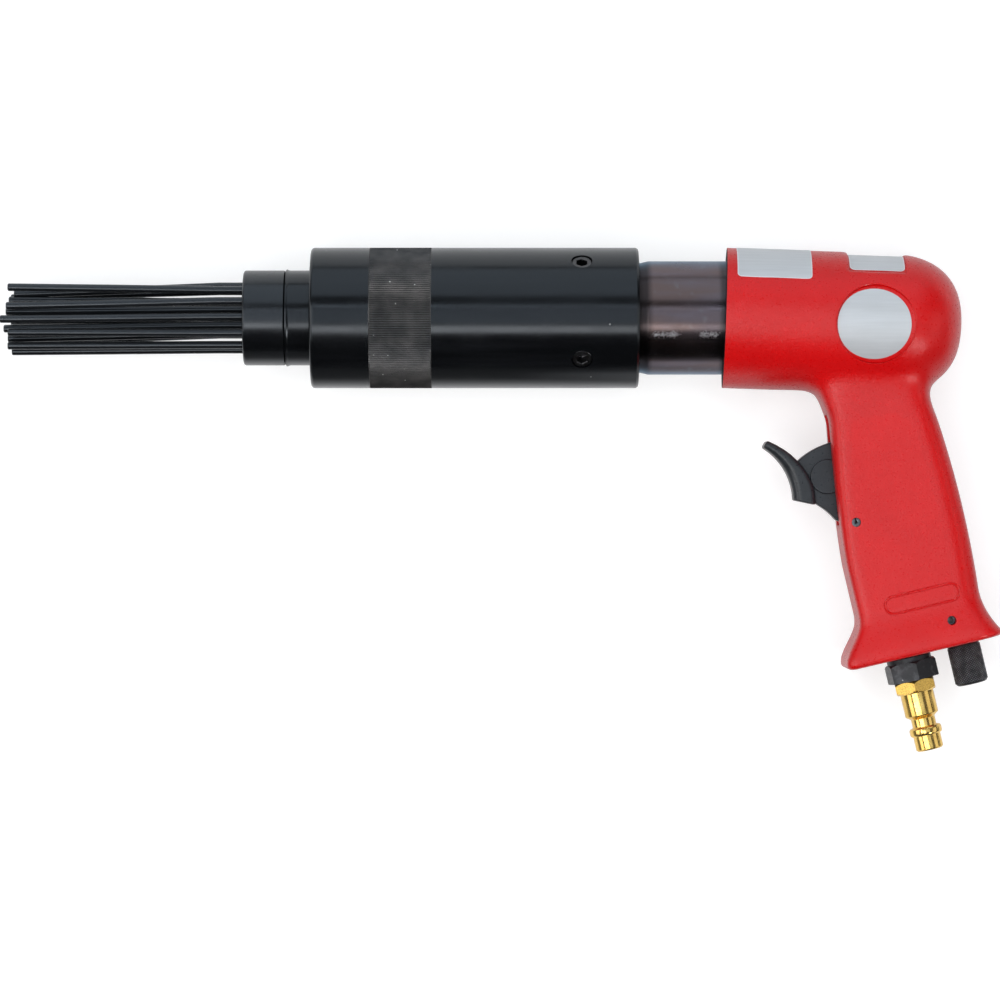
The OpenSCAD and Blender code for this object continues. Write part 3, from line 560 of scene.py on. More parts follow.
class TubeSettings(bpy.types.PropertyGroup):
    """Sizes and colours of the tube, the nose and the barrel."""

    teeth: whole("Teeth", "Teeth of the knurled band", 190)
    depth: length("Depth", "Depth of the knurled band", 0.3)
    oxide: tint("Oxide", "Blackened steel", (0.0025, 0.0028, 0.0034))
    oxide_worn: tint("Worn oxide", "Blackened steel where it is rubbed", (0.0055, 0.006, 0.0072))
    knurl: tint("Knurl", "Knurled band", (0.043, 0.0425, 0.0435))
    knurl_worn: tint("Worn knurl", "Knurled band where it is rubbed", (0.092, 0.088, 0.086))
    brown: tint("Brown", "Brown of the heated barrel", (0.155, 0.112, 0.106))
    violet: tint("Violet", "Violet of the heated barrel", (0.16, 0.134, 0.152))
    grey: tint("Grey", "Grey of the heated barrel", (0.2, 0.19, 0.2))


class NeedleSettings(bpy.types.PropertyGroup):
    """Sizes and colours of the needles."""

    diameter: length("Diameter", "Diameter of a needle", 3)
    steel: tint("Steel", "Blackened needles", (0.004, 0.0045, 0.0055))
    worn: tint("Worn steel", "Needles where they are rubbed", (0.011, 0.012, 0.014))


class FittingSettings(bpy.types.PropertyGroup):
    """Sizes and colours of the air fittings."""

    diamonds: whole("Diamonds", "Diamonds round the knob", 36)
    relief: length("Relief", "Height of the knob's diamonds", 0.34)
    black: tint("Black", "Black finish", (0.025, 0.026, 0.0292))
    rubbed: tint("Rubbed", "Black finish where it is rubbed", (0.09, 0.093, 0.102))
    bare: tint("Bare", "Edges rubbed to the steel", (0.42, 0.43, 0.45))
    brass: tint("Brass", "Hose plug", (0.96, 0.64, 0.19))
    tarnish: tint("Tarnish", "Hose plug where it is dull", (0.72, 0.46, 0.11))


class StageSettings(bpy.types.PropertyGroup):
    """Floor, light and camera."""

    floor: tint("Floor", "Pale floor", (0.5, 0.5, 0.5))
    distance: length("Distance", "Camera above the barrel axis", 1730)
    width: length("Width", "Width of the picture at the barrel axis", 384.6)


SETTINGS = {
    "scaler_casting": CastingSettings,
    "scaler_trigger": TriggerSettings,
    "scaler_tube": TubeSettings,
    "scaler_needles": NeedleSettings,
    "scaler_fittings": FittingSettings,
    "scaler_stage": StageSettings,
}


# The trigger, in mm from its pivot in the grip's frame: the boss and the hollow are a centre and a radius
SLOT = [(0.6, 0), (-20, 0), (-20, 42.4), (6, 42.4), (8.62, 39.5), (8.62, 31.08)]
SLOT_HALF = 5.85
HUB_R = 3.3
HUB_PLAY = 0.35
BOSS = (-5.8, 19.3, 6.7)
WEB_R = 31.9
WEB_LOW = [(-15.6, 27.8), (-12.6, 10.3), (-9.9, 7.5), (-8.0, 5.0), (-6.6, 2.5), (-3.3, 0)]
FINGER_HOLLOW = (-44.3, 18.5, 24.2)
FINGER_BACK = [(-24.6, 37.6), (-22.2, 35.7), (-19.5, 33.1), (-17.4, 30.6), (-15.6, 27.8), (-14.1, 25.0)]
FINGER_BACK += [(-13, 22.1), (-12.2, 18.8), (-11.9, 15.4), (-12.2, 12.6), (-12.7, 10.4)]
PIN_R = 1.7
PIN_HOLE_R = 1.75


def on_trigger(points):
    """Points measured from the trigger's pivot, in the grip's frame."""
    return [(PIVOT[0] + x, PIVOT[1] + y) for x, y in points]


def arc_points(x, y, r, start, end, count):
    """Points along an arc, with its angles in degrees."""
    angles = [math.radians(start + (end - start) * k / (count - 1)) for k in range(count)]
    return [(x + r * math.cos(t), y + r * math.sin(t)) for t in angles]


def circle(x, y, r, count, start=0.0):
    """Points round a whole circle."""
    return arc_points(x, y, r, start, start + 360 * (count - 1) / count, count)


def rounded_section(low, high, half, low_r, high_r, count):
    """Points of (place, height) round a section with two sizes of rounded corners."""
    corners = [
        (low + low_r, half - low_r, low_r, 180),
        (high - high_r, half - high_r, high_r, 90),
        (high - high_r, high_r - half, high_r, 0),
        (low + low_r, low_r - half, low_r, -90),
    ]
    return [point for u, z, r, start in corners for point in arc_points(u, z, r, start, start - 90, count)]


def stepped(start, *parts):
    """Profile of a stepped bar, up from its axis and back to it, with parts of (end, radius)."""
    profile = [(start, 0)]
    for end, r in parts:
        profile += [(start, r), (end, r)]
        start = end
    return profile + [(start, 0)]


def spread(points, count):
    """Points at even steps along a chain."""
    lengths = [math.dist(a, b) for a, b in zip(points, points[1:])]
    result = []
    for k in range(count):
        left = sum(lengths) * k / (count - 1)
        index = 0
        while index < len(lengths) - 1 and left > lengths[index]:
            left -= lengths[index]
            index += 1
        (x0, y0), (x1, y1) = points[index], points[index + 1]
        s = min(1.0, left / lengths[index])
        result.append((x0 + (x1 - x0) * s, y0 + (y1 - y0) * s))
    return result


def ease(s):
    """Smooth step from 0 to 1."""
    s = max(0.0, min(1.0, s))
    return s * s * (3 - 2 * s)


def share(value, low, high):
    """Share of the way from low to high, held from 0 to 1."""
    return max(0.0, min(1.0, (value - low) / (high - low)))


# The grip, in mm: heights up it, then its front, back and half thickness with their flare at the foot
BASE_LIFT = 0.5
BASE_ROUND = 1.8
BASE_FLARE = 18.5
GRIP_MIDDLE = 51.0
ROOT_LOW = 80.0
THROAT = 96.0
GRIP_TOP = 122.0
FRONT_A, FRONT_FLARE, FRONT_RISE = -15.9, 9.1, 6.7
REAR_A, REAR_FLARE, REAR_HOLLOW = 32.8, 3.7, 2.6
HALF_Z, HALF_FLARE, HALF_RISE = 16.5, 3.5, 0.8
ROOT_SPREAD = 3.8
ROOT_REACH = 19.0
FRONT_CORNER, REAR_CORNER = 3.6, 8.5

# The framed field on the grip: its middle, half its length and half its height
FIELD = (8.9, 21.0)
FIELD_LONG = 14.4
FIELD_SHORT = 3.3

# Ways cut into the casting, which start outside it
FRONT_SPARE = 2.5
PAST = 3.0
BORE = stepped(-PAST, (2.285, 21.85), (62.1, 20.05), (72, 17.05))
AIR_WAY = stepped(-PAST, (15.2, 8.35), (27, 6.55), (67.1, 3.7))
CHANNEL_TOP, CHANNEL_R = 116, 4.55
PUSH_B, PUSH_R = 63.6, 1.55


def grip_front(b):
    """Front of the grip at a height above its base."""
    base = share(b, BASE_ROUND, BASE_FLARE)
    root = share(b, THROAT, GRIP_TOP) ** 0.8
    rise = share(b, 0.4 * THROAT, THROAT) ** 1.35
    return FRONT_A - FRONT_FLARE * (1 - ease(base)) + FRONT_RISE * rise - ROOT_SPREAD * root


def grip_rear(b):
    """Back of the grip at a height above its base."""
    base = share(b, BASE_ROUND, BASE_FLARE)
    root = share(b, THROAT, GRIP_TOP) ** 0.8
    hollow = (min(b, THROAT) - GRIP_MIDDLE) / (THROAT - GRIP_MIDDLE)
    return REAR_A + REAR_FLARE * (1 - base) ** 2 - REAR_HOLLOW * hollow**2 * base + ROOT_SPREAD * root


def grip_half(b):
    """Half of the grip's thickness at a height above its base."""
    base = share(b, BASE_ROUND, BASE_FLARE)
    return HALF_Z + HALF_FLARE * (1 - ease(base)) + HALF_RISE * share(b, THROAT - 2, THROAT + 14) ** 1.6


def grip_ring(b, inset):
    """Rounded section of the grip as points on the bench, drawn in by an inset."""
    height = max(b, BASE_ROUND)
    front, rear, half = grip_front(height) + inset, grip_rear(height) - inset, grip_half(height) - inset
    front_r = FRONT_CORNER + 2.4 * share(height, 0.4 * THROAT, THROAT) - inset
    section = rounded_section(front, rear, half, front_r, REAR_CORNER - inset, 9)
    return [to_grip(a, b, z) for a, z in section]


def body_radius(x):
    """Radius of the leaning body at a place along its axis."""
    s = share(x, BODY_LEN, BODY_LEN + DOME_LEN)
    return BODY_R * (1 - s**DOME_FULLNESS) ** (1 / DOME_FULLNESS)


def root_weight(point):
    """How near a point of the casting is to the crease between the body and the grip, from 0 to 1."""
    x, y, z = (point - ORIGIN) / MM
    along = (x - BODY_FRONT) * math.cos(BODY_LEAN) - y * math.sin(BODY_LEAN)
    rise = (x - BODY_FRONT) * math.sin(BODY_LEAN) + y * math.cos(BODY_LEAN)
    right, up = x - INLET[0], y - INLET[1]
    a = right * math.cos(GRIP_LEAN) + up * math.sin(GRIP_LEAN)
    b = up * math.cos(GRIP_LEAN) - right * math.sin(GRIP_LEAN)
    if b < ROOT_LOW or rise > 0 or along >= BODY_LEN + DOME_LEN:
        return 0.0
    off_body = abs(math.hypot(rise, z) - body_radius(along))
    off_front = max(grip_front(b) - a, a - grip_rear(b), 0.0)
    off_grip = math.hypot(off_front, max(abs(z) - grip_half(b), 0.0))
    return (1 - ease(math.hypot(off_body, off_grip) / ROOT_REACH)) ** 1.2


def round_patch(radius, lift, level=None):
    """Ring of the round recess, at a lift over the body's skin or at one level away from its axis."""
    points = []
    for x, across in circle(RECESS_X, 0, radius, 96):
        r = level or body_radius(x) + lift
        points.append(to_body(x, r, RECESS_TURN + math.asin(across / r)))
    return points


def recess_cutter():
    """Cutter of the round recess, with a rounded rim."""
    rings = [round_patch(part * RECESS_R, 0, POCKET_FLOOR) for part in (0.02, 0.25, 0.5, 0.75, 0.95, 1)]
    rim = ((0, -0.55), (0.12, -0.25), (0.45, 0.02), (1.2, 0.7))
    rings += [round_patch(RECESS_R + out, lift) for out, lift in rim]
    above = ORIGIN.z + 40 * MM
    return loft("recess", rings + [[Vector((p.x, p.y, above)) for p in rings[-1]]])


def pocket_cutter():
    """Cutter of the pocket on top of the body."""
    end, outside = POCKET_X + POCKET_LEN, BODY_R + PAST
    corners = ((POCKET_X, POCKET_FLOOR), (end, POCKET_FLOOR), (end, outside), (POCKET_X, outside))
    points = [to_body(x, r, -POCKET_HALF) for x, r in corners]
    return turn("pocket", points, to_body(0, 0, 0), BODY_AXIS, 60, 2 * POCKET_HALF)


def pin_hole(place, half=30, sides=32):
    """Cutter of the hole of a pin across the grip."""
    return rod("pin_hole", to_grip(*place, -half), to_grip(*place, half), PIN_HOLE_R, sides)


def cast_outside():
    """Body with its pocket and grip of the casting, before they are made one skin."""
    dome = [BODY_LEN + DOME_LEN * math.sin(math.radians(90 * k / 24)) for k in range(25)]
    profile = [(-FRONT_SPARE, 0), (-FRONT_SPARE, BODY_R)] + [(x, body_radius(x)) for x in dome] + [(40, 0)]
    body = turn("handle_casting", [to_body(x, r, 0) for x, r in profile], to_body(0, 0, 0), BODY_AXIS, 128)
    combine(body, pocket_cutter())
    foot = arc_points(BASE_ROUND, BASE_ROUND, BASE_ROUND, 180, 255, 6)
    rings = [grip_ring(BASE_LIFT + rise, inset) for rise, inset in foot]
    start, steps = BASE_LIFT + BASE_ROUND, 44
    rings += [grip_ring(start + (GRIP_TOP - start) * k / steps, 0) for k in range(steps + 1)]
    return join(body, loft("grip", rings))


def cut_ways(casting):
    """Flat front, round recess, bores, slot and pin holes of the casting."""
    middle = to_body(0, 0, 0)
    corners = stepped(-2 * FRONT_SPARE, (0, 1.2 * BODY_R))
    points = [middle + (FRONT_AXIS * x + FRONT_UP * r) * MM for x, r in corners]
    combine(casting, turn("front", points, middle, FRONT_AXIS, 64))
    ways = [
        recess_cutter(),
        pocket_cutter(),
        turn_on_barrel("bore", BORE, 128),
        turn_on_grip("inlet", 0, AIR_WAY, 64),
        plate("slot", on_trigger(SLOT), SLOT_HALF),
    ]
    combine(casting, join(*ways))
    wide = HUB_R + HUB_PLAY
    hub = on_trigger(arc_points(0, 0, wide, 0, -180, 16) + [(-wide, 1), (wide, 1)])
    channel = rod("channel", to_grip(REGULATOR_A, -PAST), to_grip(REGULATOR_A, CHANNEL_TOP), CHANNEL_R)
    combine(casting, join(plate("hub", hub, SLOT_HALF), channel))
    push_hole = rod("push_hole", to_grip(-9, PUSH_B), to_grip(0, PUSH_B), PUSH_R, 32)
    combine(casting, join(pin_hole(PIVOT), pin_hole(REGULATOR_PIN), push_hole))


def framed_field(casting, groove):
    """Groove round the bare field near the base of the grip."""
    a, b = FIELD
    end = arc_points(FIELD_LONG - FIELD_SHORT, 0, FIELD_SHORT, 90, -90, 13)
    points = [to_grip(a + side * u, b + side * v, grip_half(b)) for side in (1, -1) for u, v in end]
    path = ring("field_groove", points)
    pick(path)
    bpy.ops.object.convert(target="CURVE")
    path.data.bevel_depth = groove
    path.data.bevel_resolution = 2
    bpy.ops.object.convert(target="MESH")
    path = bpy.context.object
    tidy(path)
    combine(casting, path)


class SCALER_OT_handle(bpy.types.Operator):
    """Cast the handle: body and grip in one softened skin with its bores, slot and pin holes"""

    bl_idname = "scaler.handle"
    bl_label = "Cast handle"

    def execute(self, context):
        settings = context.scene.scaler_casting
        casting = cast_outside()
        modify(casting, "REMESH", mode="VOXEL", voxel_size=settings.voxel)
        modify(casting, "SMOOTH", factor=0.5, iterations=10)
        group = casting.vertex_groups.new(name="root")
        for vertex in casting.data.vertices:
            weight = root_weight(vertex.co)
            if weight > 0:
                group.add([vertex.index], weight, "REPLACE")
        modify(casting, "SMOOTH", factor=0.5, iterations=settings.blend, vertex_group="root")
        casting.vertex_groups.clear()
        cut_ways(casting)
        framed_field(casting, settings.groove)
        tidy(casting)
        # Painted shade: the handle's flat front face takes a near-black second finish for the shade it
        # stands in.
        bare = seal_rubber("front_face_painted_shade", (0.012, 0.012, 0.013))
        seat(casting, [red_paint(settings.paint), bare], ["handle"], angle=40)
        # The faces of the flat front get the painted shade.
        front = to_body(0, 0, 0)
        for face in casting.data.polygons:
            flat = abs((face.center - front).dot(FRONT_AXIS)) < 1e-5 and face.normal.dot(FRONT_AXIS) < -0.99
            face.material_index = int(flat)
        return {"FINISHED"}


# Bare foils, in mm: the width of their rim with a painted highlight, the ripple of their ends and the sizes
# of each
FOIL_HIGHLIGHT_RIM = 0.32
FOIL_RIPPLE = 0.06
FRONT_FOIL_X = 17.6
FRONT_FOIL_HALF = 14.2
FRONT_FOIL_TURN = math.radians(56.2)
ROUND_FOIL_X = RECESS_X - 0.7
ROUND_FOIL_R = 14.0


def foil(name, middle, half, radius, corner, rounding):
    """Sheet with rounded corners and a rim in its second finish for a painted highlight, wrapped round the
    leaning body at a radius.
    """
    deselect()
    bpy.ops.mesh.primitive_plane_add(size=2)
    obj = bpy.context.object
    obj.name = name
    obj.scale = (*half, 1)
    settle()
    edit_all(obj)
    bpy.ops.mesh.bevel(offset=corner, segments=rounding, affect="VERTICES")
    bpy.ops.mesh.inset(thickness=FOIL_HIGHLIGHT_RIM)
    to_mode("OBJECT")
    # The rim faces take the second finish, which carries the painted highlight on the front and pocket
    # foils.
    for face in obj.data.polygons:
        face.material_index = int(not face.select)
    to_mode("EDIT")
    for normal, reach in zip((Vector((1, 0, 0)), Vector((0, 1, 0))), half):
        cuts = max(8, int(reach * 1.5))
        for k in range(1, cuts):
            bpy.ops.mesh.select_all(action="SELECT")
            bpy.ops.mesh.bisect(plane_co=normal * reach * (2 * k / cuts - 1), plane_no=normal)
    to_mode("OBJECT")
    for vertex in obj.data.vertices:
        x, arc, _ = vertex.co
        ripple = FOIL_RIPPLE * math.sin(x * 0.4 + 1) * abs(arc / half[1]) ** 3
        vertex.co = to_body(middle[0] + x, radius + ripple, middle[1] + arc / radius)
    tidy(obj)
    return obj


class SCALER_OT_foils(bpy.types.Operator):
    """Stick the three bare foils on the body"""

    bl_idname = "scaler.foils"
    bl_label = "Stick foils"

    def execute(self, context):
        settings = context.scene.scaler_casting
        silver = silver_foil("silver_foil", settings.silver)
        # Painted highlight: a lighter silver on the rims of the front and pocket foils, where their edges
        # catch the light.
        rim_highlight = silver_foil("silver_rim_highlight", shade_of(settings.silver, 1.3))
        lift = settings.foil / MM + 0.03
        high, low = BODY_R + lift, POCKET_FLOOR + lift
        front_half = (FRONT_FOIL_HALF, high * FRONT_FOIL_TURN)
        pocket_half = (POCKET_LEN / 2 - 0.5, low * (POCKET_HALF - 0.06))
        pocket_middle = (POCKET_X + POCKET_LEN / 2, 0)
        round_middle = (ROUND_FOIL_X, RECESS_TURN)
        round_half = (ROUND_FOIL_R, ROUND_FOIL_R)
        sheets = [
            ("front_foil", (FRONT_FOIL_X, 0), front_half, high, 1.6, 8, rim_highlight),
            ("pocket_foil", pocket_middle, pocket_half, low, 2.0, 8, rim_highlight),
            ("round_foil", round_middle, round_half, low, ROUND_FOIL_R - 0.02, 24, silver),
        ]
        for *sheet, edge in sheets:
            piece = foil(*sheet)
            modify(piece, "SOLIDIFY", thickness=settings.foil, offset=-1.0)
            tidy(piece)
            seat(piece, [silver, edge], [], body="handle", angle=40)
        return {"FINISHED"}


def finger_section(front, back, half, inset=0.0, push=(0.0, 0.0)):
    """Rounded section of the finger piece between its front and its back, drawn in and pushed along it."""
    width = math.dist(front, back)
    along = ((back[0] - front[0]) / width, (back[1] - front[1]) / width)
    deep = width - 2 * inset
    front_r, back_r = min(3.4, 0.5 * deep), min(2.0, 0.45 * deep)
    section = rounded_section(inset, width - inset, half - inset, front_r, back_r, 7)
    x, y = PIVOT[0] + front[0] + push[0], PIVOT[1] + front[1] + push[1]
    return [to_grip(x + along[0] * u, y + along[1] * u, z) for u, z in section]


def finger_piece(half):
    """Curved finger piece with round edges, from its tip to its heel."""
    count = 30
    front = arc_points(*FINGER_HOLLOW, 43.8, -10.5, count)
    back = spread(FINGER_BACK, count)
    sections = [finger_section(f, b, half) for f, b in zip(front, back)]
    for end, bulge, up in ((0, 0.95, 1), (-1, 0.6, -1)):
        slope = math.atan2(back[end][1] - front[end][1], back[end][0] - front[end][0]) + up * math.pi / 2
        for inset, push in arc_points(bulge, 0, bulge, 155, 105, 3):
            shift = (push * math.cos(slope), push * math.sin(slope))
            section = finger_section(front[end], back[end], half, inset, shift)
            sections.insert(0 if up > 0 else len(sections), section)
    return loft("finger", sections)


class SCALER_OT_trigger(bpy.types.Operator):
    """Make the trigger: web with its bosses and the rounded finger piece"""

    bl_idname = "scaler.trigger"
    bl_label = "Make trigger"

    def execute(self, context):
        settings = context.scene.scaler_trigger
        boss_half = settings.boss / MM / 2
        outline = [(0.3, 0)] + arc_points(0, 0, WEB_R, 90, 115, 14) + WEB_LOW
        trigger = plate("trigger_lever", on_trigger(outline), settings.web / MM / 2)
        # The rounded edges take the second finish, a painted highlight.
        soften(trigger, 0.55, 3, worn=True)
        inside = [(min(x, 0.2), y) for x, y in circle(*BOSS, 48)]
        boss = soften(plate("boss", on_trigger(inside), boss_half), 0.45, 3, 50)
        hub = plate("hub", on_trigger(circle(0, 0, HUB_R, 32)), boss_half)
        for piece in (boss, hub, finger_piece(settings.finger / MM / 2)):
            combine(trigger, piece, "UNION")
        combine(trigger, pin_hole(PIVOT, 20, 48))
        tidy(trigger)
        finishes = [
            moulded_black("moulded_black", settings.black),
            moulded_black("moulded_edge_highlight", settings.edge),
        ]
        seat(trigger, finishes, ["trigger"], angle=32)
        return {"FINISHED"}


class SCALER_OT_pins(bpy.types.Operator):
    """Fit the two slotted spring pins across the grip"""

    bl_idname = "scaler.pins"
    bl_label = "Fit spring pins"

    def execute(self, context):
        steel = bright_steel("pin_steel", (0.16, 0.168, 0.18), 0.3)
        pins = (("trigger_pin", PIVOT, 16.1, 0.55), ("regulator_pin", REGULATOR_PIN, 13.5, 1.1))
        for node, place, half, hollow in pins:
            corners = ((PIN_R, -half), (PIN_R, half), (hollow, half), (hollow, -half))
            points = [to_grip(place[0] + r, place[1], z) for r, z in corners]
            pin = turn(f"{node}_wound", points, to_grip(*place), ACROSS, 64)
            gap = [(place[0] + x, place[1] + y) for x, y in ((-0.25, 0), (0.25, 0), (0.25, 3), (-0.25, 3))]
            combine(pin, plate("slit", gap, 20))
            soften(pin, 0.15, 2)
            seat(pin, [steel], [node])
        return {"FINISHED"}


def hexagon(name, b0, b1, flats, turned, ends=(1.0, 1.0)):
    """Hexagonal bar up the grip with its corners turned off by a share at each end."""
    corner = flats / 2 / math.cos(math.radians(30))
    bar = loft(name, [[to_grip(a, b, z) for a, z in circle(0, 0, corner, 6, turned)] for b in (b0, b1)])
    slope, depth = (corner - flats / 2) * 0.85 + 0.25, corner - flats / 2 + 0.2
    low, high = ends
    cone = [(b0, 0), (b0, corner - low * depth), (b0 + low * slope, corner + 0.1)]
    cone += [(b1 - high * slope, corner + 0.1), (b1, corner - high * depth), (b1, 0)]
    return combine(bar, turn_on_grip("chamfer", 0, cone, 96), "INTERSECT")


# Profiles of the air fittings, in mm: heights up the grip and radii
BUSHING_LOW = -9.2
COLLAR = [(-2.4, 0), (-2.4, 8.6), (-0.3, 8.6), (0, 8.3), (14, 8.3), (14, 0)]
HOLLOW = stepped(-10, (0.8, 6.35), (15, 4.5))
PLUG_HEX_LOW = -14.1
PLUG = [(-36.7, 0), (-36.7, 4.7), (-36.1, 5.3), (-30.7, 5.3), (-30.3, 5.9)]
PLUG += arc_points(-29.9, 5.0, 1.25, 140, 90, 3) + arc_points(-28.7, 5.0, 1.25, 90, 40, 3)
PLUG += [(-27.4, 4.65), (-24.3, 4.65), (-23.9, 5.0), (-23.1, 6.2)]
PLUG += stepped(-22.7, (-13.9, 6.45), (-0.2, 6.3))[1:]
KNOB_LOW, KNOB_HIGH, KNOB_R, KNOB_ROWS = -14.9, -0.9, 6.15, 14
KNOB_CORE = [(-15.8, 0), (-15.8, 5.2), (-15.55, 5.75), (KNOB_LOW, KNOB_R), (KNOB_LOW, 5.9)]
KNOB_CORE += [(KNOB_HIGH, 5.9), (KNOB_HIGH, KNOB_R), (-0.5, 6.1), (-0.3, 5.8)]
KNOB_CORE += stepped(-0.3, (4.3, 4.5), (5.7, 3.2), (8.5, 4.5), (12.3, 1.9), (38, 4.5))[1:]


class SCALER_OT_inlet(bpy.types.Operator):
    """Fit the inlet bushing and the hose plug"""

    bl_idname = "scaler.inlet"
    bl_label = "Fit air inlet"

    def execute(self, context):
        settings = context.scene.scaler_fittings
        self.bushing(settings)
        self.plug(settings)
        return {"FINISHED"}

    def bushing(self, settings):
        """Hexagonal bushing with its collar in the grip."""
        bushing = hexagon("inlet_bushing_turned", BUSHING_LOW, -2.0, 18, 22, (0.2, 0.7))
        soften(bushing, 0.28, 2, 25, worn=True)
        combine(bushing, turn_on_grip("collar", 0, COLLAR), "UNION")
        combine(bushing, turn_on_grip("hollow", 0, HOLLOW))
        finishes = [
            black_fitting("black_fitting", settings.black, settings.rubbed),
            black_fitting("bare_edge", settings.rubbed, settings.bare, (0.35, 0.55)),
        ]
        seat(bushing, finishes, ["inlet_bushing"], angle=30)

    def plug(self, settings):
        """Turned plug with its hexagon, which has a grained face."""
        brass = [
            polished_brass("polished_brass", settings.brass, settings.tarnish, 260),
            polished_brass("grained_brass", settings.tarnish, shade_of(settings.tarnish, 0.55), 2400),
        ]
        plug = hexagon("hose_plug_turned", PLUG_HEX_LOW, BUSHING_LOW, 15, 36)
        combine(plug, turn_on_grip("plug_body", 0, PLUG, 128), "UNION")
        combine(plug, rod("plug_bore", to_grip(0, -40), to_grip(0, 5), 3.0, 64))
        soften(plug, 0.16, 2, 25)
        seat(plug, brass, ["hose_plug"], angle=30)
        foot = to_grip(0, 0)
        for face in plug.data.polygons:
            up = (face.center - foot).dot(GRIP_AXIS) / MM
            off = (face.center - foot).cross(GRIP_AXIS).length / MM
            face.material_index = int(off > 6.7 and PLUG_HEX_LOW + 0.5 < up < BUSHING_LOW - 0.2)


def deselect_all_parts(obj):
    """Clears the selection inside a mesh."""
    for group in (obj.data.vertices, obj.data.edges, obj.data.polygons):
        group.foreach_set("select", [False] * len(group))


def diamond_skin(name, sections, relief):
    """Skin through rings, cut into diamonds that rise to points."""
    skin = join(*[ring(name, points) for points in sections])
    edit_all(skin)
    bpy.ops.mesh.bridge_edge_loops(type="SINGLE")
    tidy(skin)
    before = {tuple(sorted(edge.vertices)) for edge in skin.data.edges}
    edit_all(skin)
    bpy.ops.mesh.poke()
    to_mode("OBJECT")
    counts = {}
    for face in skin.data.polygons:
        for key in face.edge_keys:
            counts[key] = counts.get(key, 0) + 1
    deselect_all_parts(skin)
    for edge in skin.data.edges:
        key = tuple(sorted(edge.vertices))
        edge.select = key in before and counts.get(key, 0) == 2
    pick(skin)
    to_mode("EDIT")
    bpy.ops.mesh.select_mode(type="EDGE")
    bpy.ops.mesh.dissolve_edges(use_verts=False)
    bpy.ops.mesh.select_mode(type="FACE")
    bpy.ops.mesh.select_all(action="SELECT")
    bpy.ops.mesh.normals_make_consistent(inside=False)
    bpy.ops.mesh.poke(offset=relief)
    bpy.ops.mesh.select_mode(type="VERT")
    to_mode("OBJECT")
    return skin


class SCALER_OT_regulator(bpy.types.Operator):
    """Make the air regulator with its diamond knurl"""

    bl_idname = "scaler.regulator"
    bl_label = "Make regulator"

    def execute(self, context):
        settings = context.scene.scaler_fittings
        heights = [KNOB_LOW + (KNOB_HIGH - KNOB_LOW) * k / KNOB_ROWS for k in range(KNOB_ROWS + 1)]
        section = circle(REGULATOR_A, 0, KNOB_R, settings.diamonds)
        sections = [[to_grip(a, b, z) for a, z in section] for b in heights]
        knob = diamond_skin("regulator_knob", sections, settings.relief)
        stem = turn_on_grip("stem", REGULATOR_A, KNOB_CORE, 72)
        flat = [(REGULATOR_A - 9, 30), (REGULATOR_A, 30), (REGULATOR_A, 40), (REGULATOR_A - 9, 40)]
        combine(stem, plate("flat", flat, 9))
        join(knob, stem)
        tidy(knob)
        finish = black_fitting("black_knob", settings.rubbed, settings.bare, (0.35, 0.65), (6.22, 6.42))
        seat(knob, [finish], ["regulator"], angle=22)
        return {"FINISHED"}


# Profiles of the barrel, the tube and the nose, in mm: places along the barrel's frame and radii
BARREL = [(-88, 8.05), (-88, 21), (-87.2, 21.8), (-60, 21.8), (-36, 21.8), (-35, 21.1), (-31.5, 21.1)]
BARREL += [(-29, 21.68), (-28.5, 21.8), (2.285, 21.8), (2.285, 20), (48, 20), (48, 11), (-6, 11)]
BARREL += [(-6, 19.4), (-12, 19.4), (-12, 11), (-66, 11), (-66, 8.05)]
BAND = (-135.0, -111.9)
TUBE_R = 27
TUBE = [(-167.7, 16.71), (-167.7, 18.1), (-167.45, 18.6), (-166.95, 18.65), (-166.4, 18.35)]
TUBE += [(-165.8, 18.25), (-158.3, 18.25), (-157.9, 18.6), (-157.9, 25.5)]
TUBE += arc_points(-156.4, 25.5, 1.5, 180, 90, 8)[1:]
TUBE += [(x, TUBE_R) for x in (BAND[0] - 0.35, *BAND, BAND[1] + 0.35, -100, -60, -33.3)]
TUBE += [(-32.5, 26.5), (-32.3, 25.9), (-32.3, 22.1), (-148, 22.1), (-148, 16.71)]
NOSE = [(-183.8, 14.41), (-183.8, 17.0)] + arc_points(-182.8, 17.25, 1.0, 180, 90, 6)[1:]
NOSE += [(-168.5, 18.25), (-168.1, 18.15), (-167.85, 17.7), (-167.7, 17.5), (-167.7, 16.7)]
NOSE += [(-160.7, 16.7), (-160.7, 15.21), (-181.8, 15.21), (-181.8, 14.41)]

# The set screws: their place along the tube, and the turn of each from the top towards the photo's up
SCREW_X = -54.2
SCREW_TURNS = (51.5, 141.5, 231.5, 321.5)


def screw_points(turned, *radii):
    """Points on the axis of a set screw, at radii from the barrel axis."""
    angle = math.radians(turned)
    return [to_bench(SCREW_X, r * math.sin(angle), r * math.cos(angle)) for r in radii]


class SCALER_OT_barrel(bpy.types.Operator):
    """Turn the barrel"""

    bl_idname = "scaler.barrel"
    bl_label = "Turn barrel"

    def execute(self, context):
        settings = context.scene.scaler_tube
        barrel = turn_on_barrel("barrel_turned", BARREL, 192)
        seat(barrel, [blued_steel(settings.brown, settings.violet, settings.grey)], ["barrel"])
        return {"FINISHED"}


